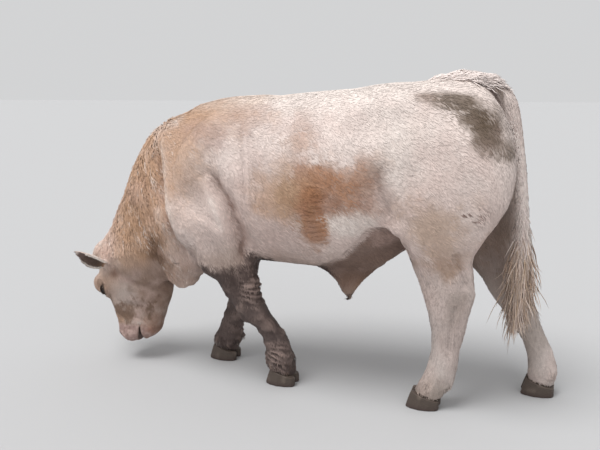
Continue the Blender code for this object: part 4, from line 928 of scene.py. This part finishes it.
def hair_piece(name, root, outward, lie, length, width, lift, droop, wave, waves, rings, colours,
               seed, sink=0.002, thick=0.35, cling=0.0, soft=0.25):
    """Closed tapered locks of three sides, each bent from its root along the coat's lie."""
    random = np.random.default_rng(seed)
    count = len(root)
    length = length * random.uniform(0.75, 1.2, count)
    width = width * random.uniform(0.75, 1.25, count)
    lift = lift * random.uniform(0.5, 1.5, count)
    along = unit(lie - outward * (lie * outward).sum(1)[:, None])
    across = np.cross(outward, along)
    turn = random.normal(0.0, SPLAY, count)[:, None]
    along, across = (along * np.cos(turn) + across * np.sin(turn),
                     across * np.cos(turn) - along * np.sin(turn))
    phase = random.uniform(0.0, TURN, count)
    points = np.empty((count, 3 * rings + 1, 3))
    shades = np.empty((count, 3 * rings + 1))
    for ring in range(rings + 1):
        share = ring / rings
        reach = length * share
        rise = reach * np.sin(lift) * (1.0 - droop * share) - sink * (1.0 - share) ** 3
        sway = wave * share * np.sin(phase + TURN * waves * share)
        bob = 0.5 * wave * share * np.cos(1.7 * phase + TURN * waves * share)
        spine = root + along * (reach * np.cos(lift))[:, None] + outward * (rise + bob)[:, None]
        spine = spine + across * sway[:, None]
        if cling and ring:
            spine, _ = laid_on_skin(spine, np.maximum(rise + bob, 0.0) + cling * (1.0 - 0.5 * share))
        # Each lock is darker towards its root as painted shade and lighter towards its tip as painted light.
        if ring == rings:
            points[:, -1] = spine
            shades[:, -1] = TIP_PAINTED_LIGHT * 1.05
            continue
        half = 0.5 * width * (0.65 + 1.1 * share - 1.3 * share * share)
        points[:, 3 * ring] = spine - across * half[:, None]
        points[:, 3 * ring + 1] = spine + across * half[:, None]
        points[:, 3 * ring + 2] = spine + outward * (2.0 * thick * half)[:, None]
        shades[:, 3 * ring:3 * ring + 3] = ROOT_PAINTED_SHADE + (TIP_PAINTED_LIGHT - ROOT_PAINTED_SHADE) * share
    faces = [(0, 2, 1)]
    for ring in range(rings - 1):
        low, high = 3 * ring, 3 * ring + 3
        for one, two in ((0, 1), (1, 2), (2, 0)):
            faces += [(low + one, low + two, high + one), (high + one, low + two, high + two)]
    low, tip = 3 * (rings - 1), 3 * rings
    faces += [(low, low + 1, tip), (low + 1, low + 2, tip), (low + 2, low, tip)]
    faces = np.array(faces)
    size = 3 * rings + 1
    index = (faces[None] + (np.arange(count) * size)[:, None, None]).reshape(-1, 3)
    mesh = bpy.data.meshes.new(name)
    mesh.vertices.add(count * size)
    mesh.vertices.foreach_set("co", points.ravel())
    mesh.loops.add(index.size)
    mesh.loops.foreach_set("vertex_index", index.ravel().astype(np.int32))
    mesh.polygons.add(len(index))
    mesh.polygons.foreach_set("loop_start", np.arange(0, index.size, 3, dtype=np.int32))
    mesh.update(calc_edges=True)
    own = random.normal(1.0, SHADE_SPREAD, (count, 1)) * shades
    give_tone(mesh, np.clip((colours[:, None, :] * own[:, :, None]).reshape(-1, 3), 0.0, 1.0))
    spot = unwrapped(root)
    steps = 2.4 * np.arange(size)
    spread = UNWRAP_REACH * np.stack([np.cos(steps), np.sin(steps)], 1)
    places = (spot[:, None, :] + spread[None]).reshape(-1, 2)[index.ravel()]
    layer = mesh.uv_layers.new(name="OFBake")
    layer.data.foreach_set("uv", places.astype(np.float32).ravel())
    mesh.shade_smooth()
    _, own_way = mesh_arrays(mesh)
    way = unit(own_way * (1.0 - soft) + np.repeat(outward, size, axis=0) * soft)
    mesh.normals_split_custom_set_from_vertices(way.tolist())
    mesh.materials.append(hair_finish)
    item = placed(name, mesh)
    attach(item, "root")
    return item


x, y, z = centres.T
down, out, rise = on_head(centres).T
is_face = (x < -0.66) & (z < 0.64) & (down > 0.0)
around_eye = np.hypot(down - EYE[0], rise - EYE[2])
on_ears = ear_mask(centres, 0) | ear_mask(centres, 1)
haired_face = is_face & (down < 0.39 - 0.35 * (rise + 0.03)) & ((around_eye > 0.03) | (z < 0)) & ~on_ears
is_neck = ~is_face & ~on_ears & (x < -0.5) & (z > 0.36)
is_body = ~is_face & ~is_neck & ~on_ears
is_leg = is_body & (z < 0.6) & (z > 0.075)
is_trunk = is_body & ~is_leg & (z > 0.4)
TRUNK_COAT = (19800, 0.025, 0.0056, 0.055, 0.0009, "cream_coat")
for number, (name, where, (count, length, width, lift, wave, slot)) in enumerate((
        ("coat_fore", is_trunk & (x < 0.08), TRUNK_COAT),
        ("coat_middle", is_trunk & (x >= 0.08) & (x < 0.5), TRUNK_COAT),
        ("coat_rear", is_trunk & (x >= 0.5), TRUNK_COAT),
        ("coat_legs", is_leg, (14000, 0.015, 0.0038, 0.12, 0.0008, "muddy_leg")),
        ("coat_face", haired_face, (16500, 0.012, 0.0026, 0.16, 0.0005, "face_coat")))):
    root, outward = roots_on_skin(where, count, 100 + number)
    length = length * (1.0 - 0.5 * near_point(root, RIDGED, RIDGED_REACH))
    if name == "coat_face":
        local = on_head(root)
        length = length + 0.016 * fading(local[:, 0] + 0.5 * local[:, 2], -0.02, 0.12)
    hair_piece(name, root, outward, coat_lie(root), length, width, lift, 0.45, wave, 0.6, 2,
               coat_colour(root), 200 + number, sink=0.0006, thick=0.17, cling=0.0011, soft=0.75)


def strand_tone(root, streak_size, seed, pale=0.5, dark=0.35):
    """The coat's colour with paler and darker strands that run in narrow streaks."""
    random = np.random.default_rng(seed)
    tone = coat_colour(root)
    level = root @ np.array([0.9, 0.0, 0.43])
    place = np.stack([level * 1.6, root[:, 1], root @ np.array([0.43, 0.0, -0.9]) * 0.28], 1)
    streak = mottle(place, streak_size, seed) + random.normal(0.0, 0.22, len(root))
    tone = blended(tone, PALE, pale * smooth_step(streak, 0.35, 0.95))
    return blended(tone, GOLD, dark * smooth_step(-streak, 0.35, 0.95))


# The neck's coat: longer, golden and strongly waved hair in overlapping locks, with paler strands.
# It grows from the skin between the shoulder and the face, and is longest on the neck's fore part.
root, outward = roots_on_skin(is_neck, 12300, 120)
crest = smooth_step(outward[:, 2] - 0.6 * outward[:, 0], 0.45, 1.0)
forward = smooth_step(-root[:, 0] + 0.04 * mottle(root, 0.05, 97), 0.52, 0.74)
forward = forward * (1.0 - 0.8 * near_point(root, (-0.64, 0.0, 0.52), (0.2, 0.2, 0.18)))
forward = forward * (1.0 - 0.9 * near_point(root, (-1.0, 0.0, 0.64), (0.15, 0.25, 0.16)))
hair_piece("coat_neck", root, outward, coat_lie(root), 0.026 + 0.03 * forward,
           0.0046 + 0.001 * forward, 0.09 + (0.05 + 0.22 * crest) * forward, 0.6, 0.0014 + 0.0056 * forward,
           1.1, 3, strand_tone(root, 0.022, 71), 220, sink=0.0015, cling=0.0015, soft=0.65)


# Long hair in small groups: the standing tuft on the tailhead, the curly poll, the ears with their
# pale fringes, the tuft of the sheath, and the fringes over the hooves.
def long_hair(name, density, count, length, width, lift, wave, waves, rings, seed, way=None,
              tint=PALE, mix=0.0, strays=(0.0, 91)):
    """A group of tinted hair that lies as the coat does, or strays by a share from one way."""
    root, outward = roots_on_skin(density, count, seed)
    tone = blended(strand_tone(root, 0.02, seed + 1, 0.4, 0.1), tint, np.full(count, mix))
    lie = coat_lie(root) if way is None else way + strays[0] * stray(root, 0.03, strays[1])
    hair_piece(name, root, outward, lie, length, width, lift, 0.55, wave, waves, rings, tone, seed + 2,
               thick=0.5)


tailhead = near_point(centres, (0.8, 0.0, 1.45), (0.17, 0.085, 0.11)) * (z > 1.38)
long_hair("tailhead_hair", tailhead, 3000, 0.058, 0.005, 0.34, 0.008, 0.9, 3, 300,
          np.array([1.0, 0.0, -0.1]), (0.88, 0.78, 0.74), 0.85, (0.9, 91))
poll = near_point(centres, (-1.0, 0.01, 0.61), (0.12, 0.11, 0.09)) * ~on_ears
long_hair("poll_hair", poll, 3200, 0.03, 0.0036, 0.09, 0.0015, 0.9, 3, 310,
          np.array([-0.7, 0.0, -0.6]), PALE, 0.45, (0.35, 94))

for number, label in ((0, "near"), (1, "far")):
    share, across, inside = on_ear(centres, number)
    reach, opening = (np.array(EARS[number][part].normalized()) for part in (1, 2))
    mask = ear_mask(centres, number)
    back = mask & ((inside < 0.0) | (across > 0.78))
    rim = mask & (inside > -0.006) & (across > 0.74)
    inner = (mask & (inside > 0.0) & (across < 0.7) & (share < 0.7)) * (1.2 - share)
    for part, where, count, length, width, lift, waves, rings, seed, way, tint, mix in (
            ("coat", back, 2200, 0.012, 0.0028, 0.1, 0.6, 2, 320, reach, PALE, 0.0),
            ("fringe", rim, 1300, 0.015, 0.0026, 0.14, 0.7, 3, 325, reach * 0.9 + opening * 0.5, PALE, 0.8),
            ("lining", inner, 300, 0.018, 0.0022, 0.2, 0.7, 3, 328, (reach + opening) * 0.5, SOIL, 0.75)):
        long_hair(f"ear_{label}_{part}", where, count, length, width, lift, 0.001, waves, rings,
                  seed + 10 * number, way, tint, mix)

sheath = near_point(centres, (0.283, 0.0, 0.43), (0.03, 0.03, 0.022))
long_hair("sheath_hair", sheath, 200, 0.028, 0.0026, 1.0, 0.002, 0.6, 4, 350,
          np.array([0.0, 0.0, -1.0]), SOIL, 0.6)
long_hair("hoof_fringes", (z > 0.07) & (z < 0.125) & (x > -0.62), 2000, 0.026, 0.0034, 0.22,
          0.002, 0.6, 3, 360)


# The tail's coat: creamy hair all round the hanging tail, rooted just inside its skin. It lengthens
# down the tail, until it hangs in loose waves over the top of the switch.
# Points down the tail: how far back, how high, and the tail's radius there.
TAIL_LINE = ((0.986, 1.315, 0.036), (1.006, 1.23, 0.033), (1.026, 1.12, 0.029), (1.044, 1.0, 0.026),
             (1.056, 0.88, 0.025), (1.061, 0.79, 0.025))


def all_round(random, count):
    """Level directions all round, drawn at random."""
    turn = random.uniform(0.0, TURN, count)
    return np.stack([np.cos(turn), np.sin(turn), np.zeros(count)], 1)


random = np.random.default_rng(41)
count = 4500
middles, levels, radii = np.array(TAIL_LINE).T
share = 1.0 - random.random(count) ** 0.75
level = levels[0] + (levels[-1] - levels[0]) * (1.0 - share)
outward = all_round(random, count)
middle, radius = (np.interp(-level, -levels, values) for values in (middles, radii))
root = np.stack([middle, np.zeros(count), level], 1) + outward * (radius - 0.004)[:, None]
fall = rows((0.02, 0.0, -1.0), count) + outward * 0.03
length = np.interp(-level, [-1.3, -1.1, -0.92, -0.79], [0.022, 0.034, 0.065, 0.16])
tone = blended(coat_colour(root), (0.83, 0.73, 0.69), np.full(count, 0.95))
tone = blended(tone, TAN, 0.4 * smooth_step(0.95 - level, 0.0, 0.2) * random.random(count))
tone = blended(tone, PALE, 0.6 * (random.random(count) < 0.4))
hair_piece("tail_coat", root, outward, fall, length, 0.0048, 0.05, 0.55, 0.003, 1.0, 4, tone, 42,
           sink=0.003, thick=0.45)


# The eyes: dark glossy balls, brown round a long level pupil. Each sits in its socket in the head,
# turned outwards, and the lids of the skin close over its rim.
eye_finish = toned_finish("wet_eye", 0.06, 0.6, 900.0, 0.0)
for name in ("eye_left", "eye_right"):
    low, high = (Vector(corner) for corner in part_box(name))
    side = 1.0 if (HEAD.inverted() @ ((low + high) / 2.0)).y > 0 else -1.0
    centre = HEAD @ Vector((EYE[0], side * EYE[1], EYE[2]))
    form = bmesh.new()
    bmesh.ops.create_uvsphere(form, u_segments=48, v_segments=32, radius=EYE_RADIUS)
    mesh = as_mesh(form, name + "_ball")
    x, y, z = mesh_arrays(mesh)[0].T
    iris = fading(np.hypot(x, y), 0.015, 0.0175) * (z > 0)
    pupil = fading(np.hypot(x / 0.0105, y / 0.005), 0.85, 1.05) * (z > 0)
    tone = blended(rows((0.045, 0.028, 0.022), len(x)), (0.03, 0.014, 0.007), iris)
    tone = blended(tone, (0.004, 0.004, 0.005), pupil)
    give_tone(mesh, tone)
    outward = (HEAD.to_3x3() @ Vector((0.1, side, 0.25))).normalized()
    mesh.transform(Matrix.Translation(centre) @ outward.to_track_quat("Z", "Y").to_matrix().to_4x4())
    mesh.shade_smooth()
    mesh.materials.append(eye_finish)
    ball_object = placed(name + "_ball", mesh)
    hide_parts(name)
    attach(ball_object, "root")


# The lashes: a row of dark tapered hairs, rooted in the edge of each upper lid and bent out and
# down over the eye.
LASHES = 34
arc = np.linspace(-1.15, 1.05, LASHES)
for side, label in ((1.0, "first"), (-1.0, "second")):
    place = np.stack([EYE[0] + 0.0235 * np.sin(arc), side * (EYE[1] + 0.0175 - 0.006 * np.abs(arc)),
                      EYE[2] + 0.0095 * np.cos(arc) - 0.1 * 0.0235 * np.sin(arc)], 1)
    lie = np.stack([0.35 * np.sin(arc) + 0.15, np.full(LASHES, 0.95 * side), np.full(LASHES, 0.4)], 1)
    outward = unit(rows(HEAD_TURN[:, 2], LASHES))
    hair_piece("lashes_" + label, place @ HEAD_TURN.T + HEAD_PLACE, outward, lie @ HEAD_TURN.T,
               0.02, 0.0012, -0.25, -0.6, 0.0008, 0.5, 4, rows((0.1, 0.06, 0.045), LASHES), 61, sink=0.0,
               thick=0.5)


# The claws: eight hooves of horn, two on each foot, worn dull and dirty. Each is its own solid,
# smoothed, with growth rings that run nearly level and a flat sole on the ground.
horn_finish = toned_finish("hoof_horn", 0.55, 0.35, 180.0, 0.0008)
HORN_GRAIN, RING_STEP = 0.0026, 0.0085
for name in sorted(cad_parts):
    if not name.startswith("claw_"):
        continue
    claw = remeshed(placed(name + "_horn", as_mesh(solid_form(name), name + "_horn")), HORN_GRAIN)
    points, normals = mesh_arrays(claw.data)
    points = relaxed(points, edge_array(claw.data), 0.5, 4)
    steep = fading(np.abs(normals[:, 2]), 0.5, 0.8)
    slope = points[:, 2] + 0.3 * (points[:, 0] - points[:, 0].mean())
    rings = np.sin((slope + 0.0012 * mottle(points, 0.02, 81)) * TURN / RING_STEP)
    points += normals * (steep * (0.0007 * rings + 0.0005 * mottle(points, 0.008, 82) - 0.0006))[:, None]
    points[:, 2] = np.maximum(points[:, 2], 0.0)
    set_points(claw.data, points)
    tone = blended(rows((0.085, 0.064, 0.052), len(points)), (0.19, 0.15, 0.12),
                   smooth_step(mottle(points, 0.03, 83), 0.0, 0.9) * 0.6)
    tone = tone * (1.0 + 0.12 * rings * steep)[:, None]
    tone = blended(tone, MUD, 0.7 * fading(points[:, 2], 0.0, 0.03))
    give_tone(claw.data, tone)
    claw.data.shade_smooth()
    claw.data.materials.clear()
    claw.data.materials.append(horn_finish)
    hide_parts(name)
    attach(claw, "root")


# The switch: a long brush of wavy golden hair that grows all round the last of the tail's bone and
# hangs to a point. It takes the place of the solid switch.
random = np.random.default_rng(31)
low, high = (Vector(corner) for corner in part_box("tail_switch"))
top = Vector(((low.x + high.x) / 2.0, (low.y + high.y) / 2.0, high.z))
SWITCH_TIP = Vector((1.036, 0.0, 0.296))
count = 2300
share = random.random(count) ** 1.2
outward = all_round(random, count)
core = np.array(top) + (np.array(SWITCH_TIP) - np.array(top)) * (0.6 * share)[:, None]
core[:, 2] += 0.02
root = core + outward * (0.024 * (1.0 - 0.6 * share))[:, None]
aim = np.array(SWITCH_TIP) + np.array([0.045, 0.0, 0.0]) * (outward[:, :1] + 0.6)
fall = aim - root + outward * random.uniform(-0.02, 0.004, count)[:, None]
length = np.linalg.norm(fall, axis=1) * random.uniform(0.45, 0.86, count) * (1.0 - 0.25 * outward[:, 0])
tone = blended(rows((0.74, 0.55, 0.37), count), CREAM, random.random(count) ** 0.5)
tone = blended(tone, GOLD, 0.35 * random.random(count) ** 2)
brush = hair_piece("switch_hair", root, outward, fall, np.minimum(length, 0.26), 0.0046, 0.02,
                   0.8, 0.008, 1.3, 7, tone, 32, sink=0.004, thick=0.5)
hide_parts("tail_switch")
